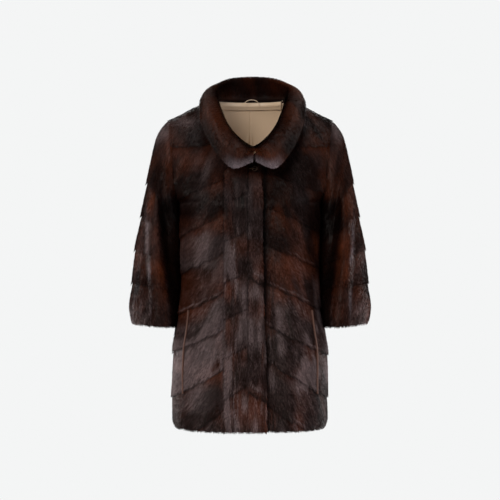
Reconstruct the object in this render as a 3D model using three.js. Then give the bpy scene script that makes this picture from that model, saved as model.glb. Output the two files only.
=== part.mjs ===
// A three-quarter sleeve fur coat, kept in the hollow form that it has when it is worn.
// Millimetres, +Z up, the front faces -Y and the wearer's right is at -X.
// The origin lies in the neck, level with the back neck seam, where the shoulders carry the coat.
import * as THREE from "three";

// Lengths of the whole coat
const hemZ = -795;
const underarmZ = -247;
const underarmX = 174;
const shoulderTip = { x: 199, y: 5, z: -46 };
const neckPoint = { x: 84, y: 5, z: 2 };
const frontNeckZ = -142;
const frontNeckY = -103;
const backNeckZ = 5;
const backNeckY = 66;
const shoulderRound = 0.5;

// The fur wall: skin side to the base of the pile's tips, and how far a pelt's lower lip stands proud
const wall = 6;
const peltLip = 4;
const peltBelly = 2.6;
const seamGap = 0.3;
const seamHalfHeight = 1.6;
const leastRow = 1.8;

// The closure: the right front ends past the centre, and the left front runs on under it
const closureEdge = { top: 30, hem: 39 };
const underlapEdge = -24;
const underlapStart = 6;
const underlapBlend = 62;
const underlapClear = 1.8;

// Rounded lower corners of the panels at the side seams
const cornerRise = 16;
const cornerReach = 60;
const cornerGirth = 160;

// Half width, front depth and back depth of the body, a row for each level
const bodyLevels = [
  { z: hemZ, width: 185, front: 139, back: 132, square: 2.35 },
  { z: -775, width: 187.5, front: 141, back: 134, square: 2.35 },
  { z: -700, width: 188, front: 139, back: 132, square: 2.35 },
  { z: -600, width: 186, front: 136, back: 128, square: 2.35 },
  { z: -553, width: 178, front: 134, back: 125, square: 2.35 },
  { z: -500, width: 171, front: 132, back: 122, square: 2.35 },
  { z: -420, width: 167, front: 130, back: 119, square: 2.35 },
  { z: -330, width: 168, front: 129, back: 117, square: 2.35 },
  { z: -247, width: underarmX, front: 128, back: 116, square: 2.35 },
];

// Seams between the pelts of each panel: level at the side seam and at the centre line
const rightFrontPelts = [
  { side: -832, centre: -692 },
  { side: -718, centre: -602 },
  { side: -608, centre: -514 },
  { side: -518, centre: -427 },
  { side: -420, centre: -331 },
  { side: -330, centre: -243 },
  { side: -238, centre: -166 },
  { side: -110, centre: -109 },
];
const leftFrontPelts = [
  { side: -830, centre: -694 },
  { side: -718, centre: -592 },
  { side: -616, centre: -512 },
  { side: -506, centre: -417 },
  { side: -404, centre: -331 },
  { side: -316, centre: -241 },
  { side: -222, centre: -164 },
  { side: -110, centre: -109 },
];
const backPelts = [
  { side: -830, centre: -700 },
  { side: -718, centre: -612 },
  { side: -612, centre: -522 },
  { side: -510, centre: -430 },
  { side: -412, centre: -338 },
  { side: -318, centre: -244 },
  { side: -224, centre: -150 },
  { side: -110, centre: -70 },
];

// The sleeve, a row for each ring: its inner and outer points seen from the front, its depths,
// and the soft ridge down its front, given as shares of the way from the inner to the outer point
const sleeveRings = [
  {
    innerX: underarmX, innerZ: underarmZ, outerX: 199, outerZ: -46, front: 82, back: 78,
    from: 0.6, to: 0.95, ridge: 0, hollow: 0,
  },
  {
    innerX: 177, innerZ: -258, outerX: 225, outerZ: -84, front: 82, back: 78,
    from: 0.58, to: 0.95, ridge: 0, hollow: 0,
  },
  {
    innerX: 177, innerZ: -280, outerX: 241, outerZ: -150, front: 80, back: 76,
    from: 0.56, to: 0.92, ridge: 4, hollow: 6,
  },
  {
    innerX: 174.5, innerZ: -306, outerX: 253, outerZ: -212, front: 76, back: 74,
    from: 0.54, to: 0.88, ridge: 12, hollow: 26,
  },
  {
    innerX: 172, innerZ: -345, outerX: 266, outerZ: -284, front: 72, back: 74,
    from: 0.46, to: 0.8, ridge: 17, hollow: 34,
  },
  {
    innerX: 171.5, innerZ: -400, outerX: 280, outerZ: -362, front: 72, back: 76,
    from: 0.36, to: 0.71, ridge: 17, hollow: 30,
  },
  {
    innerX: 172.5, innerZ: -455, outerX: 287, outerZ: -441, front: 73, back: 78,
    from: 0.2, to: 0.6, ridge: 15, hollow: 18,
  },
  {
    innerX: 176.5, innerZ: -510, outerX: 294, outerZ: -500, front: 74, back: 80,
    from: 0.06, to: 0.52, ridge: 10, hollow: 6,
  },
  {
    innerX: 183, innerZ: -552, outerX: 286, outerZ: -543, front: 72, back: 78,
    from: 0.04, to: 0.5, ridge: 5, hollow: 0,
  },
];
// Where along the sleeve its pelts join, as ring numbers of the table above
const sleevePeltSeams = [2.72, 3.9, 4.95, 5.98];

// The collar, a row for each place from the centre back to its front end:
// its roll line and the outer edge of its fall. It rises from the neckline.
const collarPlaces = [
  { roll: [0, 82, 69], edge: [0, 122, 2] },
  { roll: [49, 71, 64], edge: [62, 113, -3] },
  { roll: [78, 36, 49], edge: [107, 70, 0] },
  { roll: [95, -12, 27], edge: [127, -5, 2] },
  { roll: [84, -62, -15], edge: [126, -80, -51] },
  { roll: [66, -97, -64], edge: [110, -115, -98] },
  { roll: [46, -120, -96], edge: [85, -139, -142] },
  { roll: [24, -133, -118], edge: [50, -151, -176] },
  { roll: [4, -141, -128], edge: [5, -153, -160] },
];
// The collar's middle lies a little to the wearer's left, more so at its front ends
const collarShift = { back: 6, front: 10, atFoot: 0.5 };
const collarWall = 9;
const collarShoulderPlace = 3;
// The stand's foot against the neckline's edge: how far above it and how far inside the fur's face
const collarSeat = { above: 3.6, aboveAtFront: 14.4, inside: 3 };
const collarStations = 45;
const collarSection = 9;

// The back lining, whose top shows inside the neck, and the facing along its upper edge
const liningWall = 1.2;
const liningClear = 0.5;
const liningFootZ = -262;
const facing = { reach: 0.41, height: 14, thick: 1.5 };
// The pleat down the lining's centre back, closed at one level and open at the next
const pleat = { topZ: -74, openZ: -130, width: 9, depth: 8 };

// The loop inside the neck that hangs the coat up, a bent strap of oval section
const hanger = { x: 4, y: 55.2, footZ: -2, width: 36, rise: 13, thick: 1.5, deep: 2.6 };

// The fur hook at the neck and its ring, of round wire
const hook = { x: 11, y: -129.2, z: -171, wire: 1.1, ring: 5.2, length: 13, bend: 3.6 };

// The pocket welts: level of their ends, their place round the front, and their size
const pocket = { topZ: -507, footZ: -706, around: 0.61, width: 10, thick: 2.4, girth: 190 };

// Mesh fineness
const frontColumns = 11;
const backColumns = 21;
const rowsPerPelt = 2;
const sleeveFrontColumns = 17;
const sleeveBackColumns = 10;

const furColor = 0x4a2a1c;
const liningColor = 0xe6d3bd;
const metalColor = 0x3a2c28;
const furRoughness = 0.55;
const liningRoughness = 0.5;
const metalRoughness = 0.4;
const metalShare = 0.6;

const quarter = Math.PI / 2;
const lerp = (a, b, t) => a + (b - a) * t;
const clamp = (x, low, high) => Math.min(high, Math.max(low, x));
const smooth = (low, high, x) => {
  const t = clamp((x - low) / (high - low), 0, 1);
  return t * t * (3 - 2 * t);
};

// A value between the rows of a table, on a curve through them that keeps their rise
function between(a, b, c, d, t) {
  const m0 = (c - a) / 2;
  const m1 = (d - b) / 2;
  const t2 = t * t;
  const t3 = t2 * t;
  return (2 * t3 - 3 * t2 + 1) * b + (t3 - 2 * t2 + t) * m0 + (3 * t2 - 2 * t3) * c + (t3 - t2) * m1;
}

// One row of a table at a place that may lie between two of its rows
function rowAt(table, place) {
  const last = table.length - 1;
  const at = clamp(place, 0, last);
  const i = Math.min(Math.floor(at), last - 1);
  const rows = [Math.max(i - 1, 0), i, i + 1, Math.min(i + 2, last)].map((k) => table[k]);
  const blend = (pick) => between(...rows.map(pick), at - i);
  const result = {};
  for (const key of Object.keys(table[0])) {
    const first = table[0][key];
    const whole = Array.isArray(first);
    result[key] = whole ? first.map((_, n) => blend((r) => r[key][n])) : blend((r) => r[key]);
  }
  return result;
}

// The body's sizes at a level
function bodyAt(z) {
  let i = 0;
  while (i < bodyLevels.length - 2 && z > bodyLevels[i + 1].z) {
    i += 1;
  }
  const share = (z - bodyLevels[i].z) / (bodyLevels[i + 1].z - bodyLevels[i].z);
  return rowAt(bodyLevels, i + clamp(share, 0, 1));
}

// The front or the back value of a pair of depths
function depthOf(pair, face) {
  return face < 0 ? pair.front : pair.back;
}

// Share of the half width at a place round the panel: 0 at the centre line, 1 at the side seam
function acrossAt(around, square) {
  const angle = around * quarter;
  return Math.sign(around) * Math.abs(Math.sin(angle)) ** (2 / square);
}

// A point of the body below the underarm. Face is -1 at the front and 1 at the back.
function lowerPoint(face, around, z) {
  const size = bodyAt(z);
  const depth = depthOf(size, face);
  const x = size.width * acrossAt(around, size.square);
  const y = face * depth * Math.abs(Math.cos(around * quarter)) ** (2 / size.square);
  return [x, y, z];
}

// The upper edge of a panel: the neckline as far as the neck point, then the shoulder seam
const neckShare = 0.42;
function topPoint(face, around) {
  const side = Math.sign(around) || 1;
  const a = Math.abs(around);
  if (a >= neckShare) {
    const t = (a - neckShare) / (1 - neckShare);
    const drop = smooth(0.2, 1.2, t) / smooth(0.2, 1.2, 1);
    return [
      side * lerp(neckPoint.x, shoulderTip.x, t),
      lerp(neckPoint.y, shoulderTip.y, t),
      lerp(neckPoint.z, shoulderTip.z, lerp(t, drop, shoulderRound)),
    ];
  }
  const turn = (a / neckShare) * quarter;
  const y = face < 0 ? frontNeckY : backNeckY;
  const z = face < 0 ? frontNeckZ : backNeckZ;
  const bend = 1 - Math.cos(turn);
  const lift = bend ** (face < 0 ? 0.75 : 2);
  const turnBack = bend ** (face < 0 ? 1.4 : 1);
  const reach = neckPoint.x * Math.sin(turn) ** (face < 0 ? 1.3 : 1);
  return [side * reach, lerp(y, neckPoint.y, turnBack), lerp(z, neckPoint.z, lift)];
}

// How far the armhole reaches forward and back, and its roundness between underarm and shoulder
const armholeDepth = { front: 82, back: 78 };
const armholeRound = (share) => (2 * Math.sqrt(clamp(share * (1 - share), 0, 1))) ** 0.85;

// A point of the body above the underarm, at a share of the way up to the panel's upper edge
function upperPoint(face, around, share) {
  const [x0, y0, z0] = lowerPoint(face, around, underarmZ);
  const [x1, y1, z1] = topPoint(face, around);
  const angle = share * quarter;
  const rise = Math.sin(angle);
  const turn = 1 - Math.cos(angle) ** 1.15;
  const nearArm = smooth(0.3, 1, Math.abs(around));
  const centreDepth = Math.abs(lowerPoint(face, 0, underarmZ)[1]);
  const fullest = lerp(0.9 * centreDepth, depthOf(armholeDepth, face), nearArm);
  const swell = Math.max(0, fullest - Math.abs(y0));
  const y = lerp(y0, y1, turn) + face * swell * armholeRound(rise);
  const lean = lerp(1.4, 1, nearArm);
  return [lerp(x0, x1, rise ** lean), y, lerp(z0, z1, rise)];
}

// The hem's level, which rises in a round corner towards each side seam
function hemAt(around) {
  const fromSeam = (1 - Math.abs(around)) * quarter * cornerGirth;
  const reach = clamp(cornerReach - fromSeam, 0, cornerReach) / cornerReach;
  return hemZ + cornerRise * (1 - Math.sqrt(1 - reach * reach * 0.98));
}

// A point of the body by one height: from the hem at 0 to the underarm at 1 and the upper edge at 2
function bodyPoint(face, around, height) {
  if (height >= 1) {
    return upperPoint(face, around, height - 1);
  }
  return lowerPoint(face, around, lerp(hemAt(around), underarmZ, height));
}

// The height, from 0 to 2, at which a place round the body reaches a level
function heightOf(face, around, z) {
  const hem = hemAt(around);
  if (z <= underarmZ) {
    return (z - hem) / (underarmZ - hem);
  }
  const top = topPoint(face, around)[2];
  return 1 + Math.asin(clamp((z - underarmZ) / (top - underarmZ), 0, 1)) / quarter;
}

// Heights of one column's points, with a pair at each pelt seam, and how proud the fur stands there
function columnHeights(face, around, pelts) {
  const across = Math.abs(acrossAt(around, bodyLevels[0].square));
  const unit = 1 / (underarmZ - hemZ);
  const marks = [{ h: 0, proud: 0 }];
  marks.push({ h: 9 * unit, proud: peltLip });
  for (const pelt of pelts) {
    const z = lerp(pelt.centre, pelt.side, across);
    const low = heightOf(face, around, z - seamHalfHeight);
    const high = heightOf(face, around, z + seamHalfHeight);
    const before = marks[marks.length - 1].h;
    for (let k = 1; k <= rowsPerPelt; k += 1) {
      const t = k / (rowsPerPelt + 1);
      marks.push({ h: lerp(before, low, t), proud: lerp(peltLip, peltBelly, t) * (1 - 0.25 * t) });
    }
    marks.push({ h: low, proud: 0 });
    marks.push({ h: high, proud: peltLip });
  }
  const before = marks[marks.length - 1].h;
  const facingFoot = heightOf(face, around, topPoint(face, around)[2] - facing.height);
  marks.push({ h: lerp(before, facingFoot, 0.5), proud: peltBelly });
  marks.push({ h: facingFoot, proud: peltBelly });
  marks.push({ h: 2, proud: 0 });
  // Seams that run out at the hem or the upper edge close up there, least spacing apart
  const least = leastRow * unit;
  for (let i = 1; i < marks.length; i += 1) {
    const clampedLow = marks[i].h < marks[i - 1].h + least;
    marks[i].h = Math.max(marks[i].h, marks[i - 1].h + least);
    marks[i].proud = clampedLow ? 0.5 : marks[i].proud;
  }
  marks[marks.length - 1].h = 2;
  for (let i = marks.length - 2; i > 0; i -= 1) {
    const most = marks[i + 1].h - least;
    if (marks[i].h > most) {
      marks[i].h = most;
      marks[i].proud = 0.5;
    }
  }
  if (Math.abs(around) > 0.9999) {
    startArmhole(marks);
  }
  return marks;
}

// Puts one point of a side column at the underarm, where the side seam turns into the armhole
function startArmhole(marks) {
  const nearest = marks.reduce((best, m) => (Math.abs(m.h - 1) < Math.abs(best.h - 1) ? m : best));
  nearest.h = 1;
  nearest.proud = 0;
}

// Unit normals of a grid of points, worked out from its neighbours
function gridNormals(grid, wraps) {
  const columns = grid.length;
  const rows = grid[0].length;
  return grid.map((column, i) =>
    column.map((_, j) => {
      const next = wraps ? (i + 1) % columns : Math.min(i + 1, columns - 1);
      const last = wraps ? (i + columns - 1) % columns : Math.max(i - 1, 0);
      const a = new THREE.Vector3(...grid[next][j]).sub(new THREE.Vector3(...grid[last][j]));
      const up = grid[i][Math.min(j + 1, rows - 1)];
      const down = grid[i][Math.max(j - 1, 0)];
      const b = new THREE.Vector3(...up).sub(new THREE.Vector3(...down));
      return a.cross(b).normalize();
    }),
  );
}

// Points moved along their normals by a distance for each
function moved(grid, normals, distance) {
  return grid.map((column, i) =>
    column.map((p, j) => {
      const d = distance(i, j);
      const n = normals[i][j];
      return [p[0] + n.x * d, p[1] + n.y * d, p[2] + n.z * d];
    }),
  );
}

// The armhole lies in a plane, so that the body's edge and the sleeve's edge meet face to face there
const armholePlane = new THREE.Vector3(shoulderTip.z - underarmZ, 0, underarmX - shoulderTip.x).normalize();

// Turns a wall's edge square to the seam that it meets, and draws it back by half of the seam's gap
function squareToSeam(point, normal, plane) {
  normal.addScaledVector(plane, -normal.dot(plane)).normalize();
  return point.map((value, k) => value - (plane.getComponent(k) * seamGap) / 2);
}

// Squares the edges of a body panel to its side, shoulder and armhole seams
function squarePanel(face, arounds, marks, base, normals) {
  const toOtherFace = new THREE.Vector3(0, -face, 0);
  base.forEach((column, i) => {
    column.forEach((point, j) => {
      const height = marks[i][j].h;
      const side = Math.sign(arounds[i]);
      const atSide = Math.abs(arounds[i]) > 0.9999;
      const armhole = armholePlane.clone().multiply(new THREE.Vector3(side, 1, 1));
      if (atSide && height >= 1) {
        column[j] = squareToSeam(column[j], normals[i][j].clone(), armhole);
      }
      if (atSide && height > 1) {
        normals[i][j].addScaledVector(armhole, -normals[i][j].dot(armhole)).normalize();
      }
      if ((atSide && height <= 1) || (height === 2 && Math.abs(arounds[i]) >= neckShare)) {
        column[j] = squareToSeam(column[j], normals[i][j], toOtherFace);
      }
    });
  });
}

// A closed wall between an outer and an inner grid of points, of the same size.
// A grid that wraps is a tube, and one that does not has four edges.
function wallGeometry(outer, inner, wraps) {
  const columns = outer.length;
  const rows = outer[0].length;
  const positions = [...outer.flat(), ...inner.flat()].flat();
  const out = (i, j) => (i % columns) * rows + j;
  const inn = (i, j) => columns * rows + out(i, j);
  const faces = [];
  const quad = (a, b, c, d) => faces.push(a, b, c, a, c, d);
  const lastColumn = wraps ? columns : columns - 1;
  for (let i = 0; i < lastColumn; i += 1) {
    for (let j = 0; j < rows - 1; j += 1) {
      quad(out(i, j), out(i + 1, j), out(i + 1, j + 1), out(i, j + 1));
      quad(inn(i, j), inn(i, j + 1), inn(i + 1, j + 1), inn(i + 1, j));
    }
    quad(inn(i, 0), inn(i + 1, 0), out(i + 1, 0), out(i, 0));
    quad(out(i, rows - 1), out(i + 1, rows - 1), inn(i + 1, rows - 1), inn(i, rows - 1));
  }
  if (!wraps) {
    for (let j = 0; j < rows - 1; j += 1) {
      quad(out(0, j), out(0, j + 1), inn(0, j + 1), inn(0, j));
      const end = columns - 1;
      quad(inn(end, j), inn(end, j + 1), out(end, j + 1), out(end, j));
    }
  }
  const geometry = new THREE.BufferGeometry();
  geometry.setAttribute("position", new THREE.Float32BufferAttribute(positions, 3));
  geometry.setIndex(faces);
  return facingOut(geometry);
}

// Turns a wall inside out where its grid runs the other way round
function facingOut(geometry) {
  const p = geometry.attributes.position;
  const index = geometry.index.array;
  const corner = [new THREE.Vector3(), new THREE.Vector3(), new THREE.Vector3()];
  let volume = 0;
  for (let f = 0; f < index.length; f += 3) {
    corner.forEach((c, k) => c.fromBufferAttribute(p, index[f + k]));
    volume += corner[0].dot(corner[1].cross(corner[2]));
  }
  if (volume < 0) {
    for (let f = 0; f < index.length; f += 3) {
      [index[f], index[f + 1]] = [index[f + 1], index[f]];
    }
  }
  geometry.computeVertexNormals();
  return geometry;
}

const coat = new THREE.Group();

function addPiece(name, geometry, color, roughness, metalness = 0) {
  const material = new THREE.MeshStandardMaterial({ color, roughness, metalness });
  const mesh = new THREE.Mesh(geometry, material);
  mesh.name = name;
  coat.add(mesh);
}

// How far the left front sinks where the right front lies over it
function underlapSink(x) {
  const rise = smooth(closureEdge.hem - underlapStart, closureEdge.hem + underlapBlend, x);
  return (wall + peltLip + underlapClear) * (1 - rise);
}

// A panel's wall from the places round the body of its columns, each nudged by its height
function panelWall(face, places, pelts, sinkAt, nudge) {
  const marks = places.map((around) => columnHeights(face, around, pelts));
  const base = places.map((around, i) => marks[i].map((m) => bodyPoint(face, around + nudge(i, m.h), m.h)));
  const normals = gridNormals(base, false);
  if (face > 0) {
    normals.flat().forEach((n) => n.negate());
  }
  squarePanel(face, places, marks, base, normals);
  const low = (i) => lerp(1, 0.1, smooth(0.76, 0.92, Math.abs(places[i])));
  const outer = moved(base, normals, (i, j) => marks[i][j].proud * low(i) - sinkAt(base[i][j]));
  const inner = moved(base, normals, (i, j) => -wall - sinkAt(base[i][j]));
  return { outer, inner, normals };
}

// A strip of wall laid on some of a grid's points, a gap above it
function stripGeometry(grid, normals, thick) {
  const under = moved(grid, normals, () => seamGap);
  const over = moved(grid, normals, () => seamGap + thick);
  return wallGeometry(over, under, false);
}

// Place round the front at which its surface reaches a distance from the centre line
function placeAtX(x, width) {
  const share = Math.abs(x) / width;
  return (Math.sign(x) * Math.asin(share ** (bodyLevels[0].square / 2))) / quarter;
}

function spread(from, to, count) {
  return Array.from({ length: count }, (_, i) => lerp(from, to, i / (count - 1)));
}

// A front's columns, with one on each edge of its pocket's welt
function frontPlaces(from, to, pocketPlace) {
  const half = pocket.width / 2 / pocket.girth;
  const spacing = (to - from) / (frontColumns - 1);
  const apart = (place) => Math.abs(place - pocketPlace) > spacing * 0.45;
  const clear = spread(from, to, frontColumns).filter(apart);
  return [...clear, pocketPlace - half, pocketPlace + half].sort((a, b) => a - b);
}

// A front and the welt of its pocket, made from the front's own outer points
function addFront(name, places, pelts, sinkAt, nudge) {
  const panel = panelWall(-1, places, pelts, sinkAt, nudge);
  addPiece(`front_${name}`, wallGeometry(panel.outer, panel.inner, false), furColor, furRoughness);
  const half = pocket.width / 2 / pocket.girth;
  const onWelt = (place) => Math.abs(Math.abs(place) - pocket.around) < half * 1.01;
  const columns = places.flatMap((place, i) => (onWelt(place) ? [i] : []));
  const besideWelt = ([, , z]) => z > pocket.footZ && z < pocket.topZ;
  const rows = panel.outer[columns[0]].flatMap((point, j) => (besideWelt(point) ? [j] : []));
  const pick = (grid) => columns.map((i) => rows.map((j) => grid[i][j]));
  const welt = stripGeometry(pick(panel.outer), pick(panel.normals), pocket.thick);
  addPiece(`pocket_welt_${name}`, welt, furColor, furRoughness);
}

function addFronts() {
  const closurePlace = placeAtX(closureEdge.top, underarmX);
  const hemPlace = placeAtX(closureEdge.hem, bodyLevels[0].width);
  const none = () => 0;
  const right = frontPlaces(-1, closurePlace, -pocket.around);
  const slant = (i, h) => (hemPlace - closurePlace) * clamp(1 - h, 0, 1) * (i / (right.length - 1)) ** 4;
  addFront("right", right, rightFrontPelts, none, slant);
  const left = frontPlaces(placeAtX(underlapEdge, underarmX), 1, pocket.around);
  addFront("left", left, leftFrontPelts, (p) => underlapSink(p[0]), none);
}

// A point on a ring of the sleeve. Turn 0 is its inner side, a quarter its front, a half its outer side.
function sleevePoint(ring, turn) {
  const f = (1 - Math.cos(turn)) / 2;
  const front = Math.sin(turn) > 0;
  const depth = front ? ring.front : ring.back;
  const middle = (ring.from + ring.to) / 2;
  const half = (ring.to - ring.from) / 2;
  const ridge = ring.ridge * Math.max(0, 1 - ((f - middle) / (half * 1.15)) ** 2);
  const hollow = ring.hollow * (1 - smooth(ring.from - 0.16, ring.from + 0.06, f));
  const round = Math.abs(Math.sin(turn)) ** 0.85;
  const extra = front ? (ridge - hollow) * round : 0;
  const y = (front ? -1 : 1) * (depth * round + extra);
  return [lerp(ring.innerX, ring.outerX, f), y, lerp(ring.innerZ, ring.outerZ, f)];
}

function sleeveMarks() {
  const seams = [...sleevePeltSeams, sleeveRings.length - 1];
  const half = 0.03;
  const marks = [{ at: 0, proud: 0 }];
  for (const seam of seams) {
    const before = marks[marks.length - 1].at;
    const last = seam === seams[seams.length - 1];
    const steps = before === 0 ? 4 : 2;
    for (let k = 1; k <= steps; k += 1) {
      const t = k / (steps + 1);
      marks.push({ at: lerp(before, seam - half, t), proud: peltLip * t * 0.8 });
    }
    marks.push({ at: seam - half * (last ? 4 : 1), proud: peltLip });
    marks.push({ at: last ? seam : seam + half, proud: 0 });
  }
  return marks;
}

function addSleeve(name, side) {
  const marks = sleeveMarks();
  const halfRound = (start, count) => spread(start, start + Math.PI, count + 1).slice(0, -1);
  const turns = [...halfRound(0, sleeveFrontColumns), ...halfRound(Math.PI, sleeveBackColumns)];
  const base = turns.map((turn) => {
    return marks.map((m) => {
      const p = sleevePoint(rowAt(sleeveRings, m.at), turn);
      return [side * p[0], p[1], p[2]];
    });
  });
  const normals = gridNormals(base, true);
  const outward = -side;
  const toBody = armholePlane.clone().multiply(new THREE.Vector3(-side, -1, -1));
  base.forEach((column, i) => {
    column[0] = squareToSeam(column[0], normals[i][0], toBody);
  });
  const nearBody = (i) => smooth(0.05, 0.3, (1 - Math.cos(turns[i])) / 2);
  const outer = moved(base, normals, (i, j) => outward * marks[j].proud * nearBody(i));
  const inner = moved(base, normals, () => -outward * wall);
  addPiece(name, wallGeometry(outer, inner, true), furColor, furRoughness);
}

// The foot of the collar's stand at one place, on the neckline's edge
function collarSeam(place) {
  const last = collarPlaces.length - 1;
  const atBack = place <= collarShoulderPlace;
  const share = atBack ? place / collarShoulderPlace : (last - place) / (last - collarShoulderPlace);
  const [x, y, z] = topPoint(atBack ? 1 : -1, Math.max(share, 0.001) * neckShare * 0.999);
  const inward = new THREE.Vector3(-x, -y, 0).normalize().multiplyScalar(collarSeat.inside);
  const above = lerp(collarSeat.above, collarSeat.aboveAtFront, smooth(last - 3, last, place));
  return new THREE.Vector3(x, y, z + above).add(inward);
}

// The collar's middle surface across at one place: up the stand, over the roll and down the fall
function collarLine(place) {
  const row = rowAt(collarPlaces, place);
  const point = (name) => new THREE.Vector3(...row[name]);
  const seam = collarSeam(place);
  const roll = point("roll");
  const edge = point("edge");
  const stand = seam.clone().lerp(roll, 0.55).add(new THREE.Vector3(0, 0, 5));
  const fall = roll.clone().lerp(edge, 0.45).add(new THREE.Vector3(0, 0, 9));
  return new THREE.CatmullRomCurve3([seam, stand, roll, fall, edge]).getPoints(collarSection);
}

function addCollar() {
  const last = collarPlaces.length - 1;
  const places = spread(-last, last, collarStations);
  const base = places.map((place) => {
    const shift = lerp(collarShift.back, collarShift.front, smooth(4, last, Math.abs(place)));
    return collarLine(Math.abs(place)).map((p, j) => {
      const held = lerp(collarShift.atFoot, 1, smooth(0, 0.5, j / collarSection));
      return [shift * held + (Math.sign(place) || 1) * p.x, p.y, p.z];
    });
  });
  const normals = gridNormals(base, false);
  const round = (j) => 0.72 + 0.28 * Math.sin((Math.PI * j) / collarSection);
  const outer = moved(base, normals, (i, j) => (collarWall / 2) * round(j));
  const inner = moved(base, normals, (i, j) => (-collarWall / 2) * round(j));
  addPiece("collar", wallGeometry(outer, inner, false), furColor, furRoughness);
}

// How far the lining stands forward in its centre pleat
function pleatFold([x, , z]) {
  const open = 1 - smooth(pleat.openZ, pleat.topZ, z);
  return pleat.depth * open * (1 - smooth(0.2, 1, Math.abs(x) / pleat.width));
}

// The back, with the lining and its facing made from the back's own inner points
function addBack() {
  const fold = placeAtX(pleat.width, underarmX);
  const places = [...spread(-1, 1, backColumns), -fold, fold].sort((a, b) => a - b);
  const none = () => 0;
  const back = panelWall(1, places, backPelts, none, none);
  addPiece("back", wallGeometry(back.outer, back.inner, false), furColor, furRoughness);
  const middle = (places.length - 1) / 2;
  const rows = back.inner[middle].flatMap(([, , z], j) => (z > liningFootZ ? [j] : []));
  const pick = (grid, columns, chosen) => columns.map((i) => chosen.map((j) => grid[i][j]));
  const across = places.flatMap((place, i) => (Math.abs(place) < 0.9999 ? [i] : []));
  const shell = (columns, chosen, depth, foldAt) => {
    const skin = pick(back.inner, columns, chosen);
    return moved(skin, pick(back.normals, columns, chosen), (i, j) => -depth - foldAt(skin[i][j]));
  };
  const liningTop = liningClear + liningWall;
  const outer = shell(across, rows, liningClear, pleatFold);
  const inner = shell(across, rows, liningTop, pleatFold);
  addPiece("lining_back", wallGeometry(outer, inner, false), liningColor, liningRoughness);
  const neck = places.flatMap((place, i) => (Math.abs(place) < facing.reach ? [i] : []));
  const upper = rows.slice(-2);
  const under = shell(neck, upper, liningTop + seamGap, none);
  const over = shell(neck, upper, liningTop + seamGap + facing.thick, none);
  addPiece("neck_facing", wallGeometry(under, over, false), liningColor, liningRoughness);
}

// A round or oval bar along a curve
function barGeometry(curve, halfWide, halfDeep, steps) {
  const section = new THREE.Shape();
  section.absellipse(0, 0, halfWide, halfDeep, 0, Math.PI * 2, false, 0);
  const settings = { steps, extrudePath: curve, curveSegments: 4, bevelEnabled: false };
  return new THREE.ExtrudeGeometry(section, settings);
}

function addHanger() {
  const points = spread(0, Math.PI, 9).map((turn) => {
    const x = hanger.x - (hanger.width / 2) * Math.cos(turn);
    return new THREE.Vector3(x, hanger.y, hanger.footZ + hanger.rise * Math.sin(turn) ** 0.8);
  });
  const curve = new THREE.CatmullRomCurve3(points);
  const strap = barGeometry(curve, hanger.thick / 2, hanger.deep / 2, 16);
  addPiece("hanger_loop", strap, liningColor, liningRoughness);
}

function addHook() {
  const ring = new THREE.TorusGeometry(hook.ring, hook.wire, 8, 20);
  ring.rotateX(quarter);
  ring.translate(hook.x, hook.y, hook.z);
  addPiece("neck_eye", ring, metalColor, metalRoughness, metalShare);
  const apart = hook.wire * 2 + 0.8;
  const points = [
    [-hook.length, apart],
    [-hook.length * 0.6, apart],
    [-hook.bend * 0.6, apart],
    [hook.bend * 0.3, 0],
    [-hook.bend * 0.6, -apart],
    [-hook.ring * 1.6, -apart * 1.1],
  ].map(([x, y]) => new THREE.Vector3(hook.x + x, hook.y + y, hook.z));
  const curve = new THREE.CatmullRomCurve3(points);
  addPiece("neck_hook", barGeometry(curve, hook.wire, hook.wire, 18), metalColor, metalRoughness, metalShare);
}

addFronts();
addBack();
addSleeve("sleeve_right", -1);
addSleeve("sleeve_left", 1);
addCollar();
addHanger();
addHook();

export default coat;
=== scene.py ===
"""The mink coat for rendering: thin panels with their pile of hair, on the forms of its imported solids."""

import logging
import math
from dataclasses import dataclass, replace
from enum import Enum
from typing import Callable

import bpy
import numpy as np
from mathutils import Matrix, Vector


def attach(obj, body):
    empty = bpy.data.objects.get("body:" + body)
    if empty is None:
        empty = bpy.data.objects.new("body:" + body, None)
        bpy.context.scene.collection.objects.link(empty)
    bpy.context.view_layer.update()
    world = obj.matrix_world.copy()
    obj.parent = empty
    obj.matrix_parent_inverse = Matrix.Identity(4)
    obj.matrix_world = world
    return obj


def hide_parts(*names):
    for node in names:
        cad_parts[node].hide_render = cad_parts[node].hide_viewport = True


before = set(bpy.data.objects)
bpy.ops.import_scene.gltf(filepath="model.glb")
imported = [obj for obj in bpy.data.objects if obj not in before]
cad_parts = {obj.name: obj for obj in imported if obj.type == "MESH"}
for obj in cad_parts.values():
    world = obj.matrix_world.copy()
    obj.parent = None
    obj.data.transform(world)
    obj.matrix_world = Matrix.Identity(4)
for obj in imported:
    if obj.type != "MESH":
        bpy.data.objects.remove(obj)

LOG = logging.getLogger("coat")
MM = 0.001
QUARTER = math.pi / 2
Array = np.ndarray


# Small helpers for numbers and colours


def lerp(a: Array | float, b: Array | float, t: Array | float) -> Array | float:
    """Returns the value a share t of the way from a to b."""
    return a + (b - a) * t


def smooth(low: float, high: float, x: Array | float) -> Array | float:
    """Returns 0 below low, 1 above high and a soft step between them."""
    t = np.clip((x - low) / (high - low), 0.0, 1.0)
    return t * t * (3.0 - 2.0 * t)


def bell(x: Array | float, middle: float, half: float) -> Array | float:
    """Returns a soft bump of height 1 round middle, which ends half away from it."""
    return 1.0 - smooth(0.0, 1.0, np.abs((x - middle) / half))


def grid_shares(columns: int, rows: int) -> tuple[Array, Array]:
    """Returns the shares across and along of a grid's points, from 0 to 1."""
    a, b = np.meshgrid(np.linspace(0, 1, columns), np.linspace(0, 1, rows), indexing="ij")
    return a, b


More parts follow.
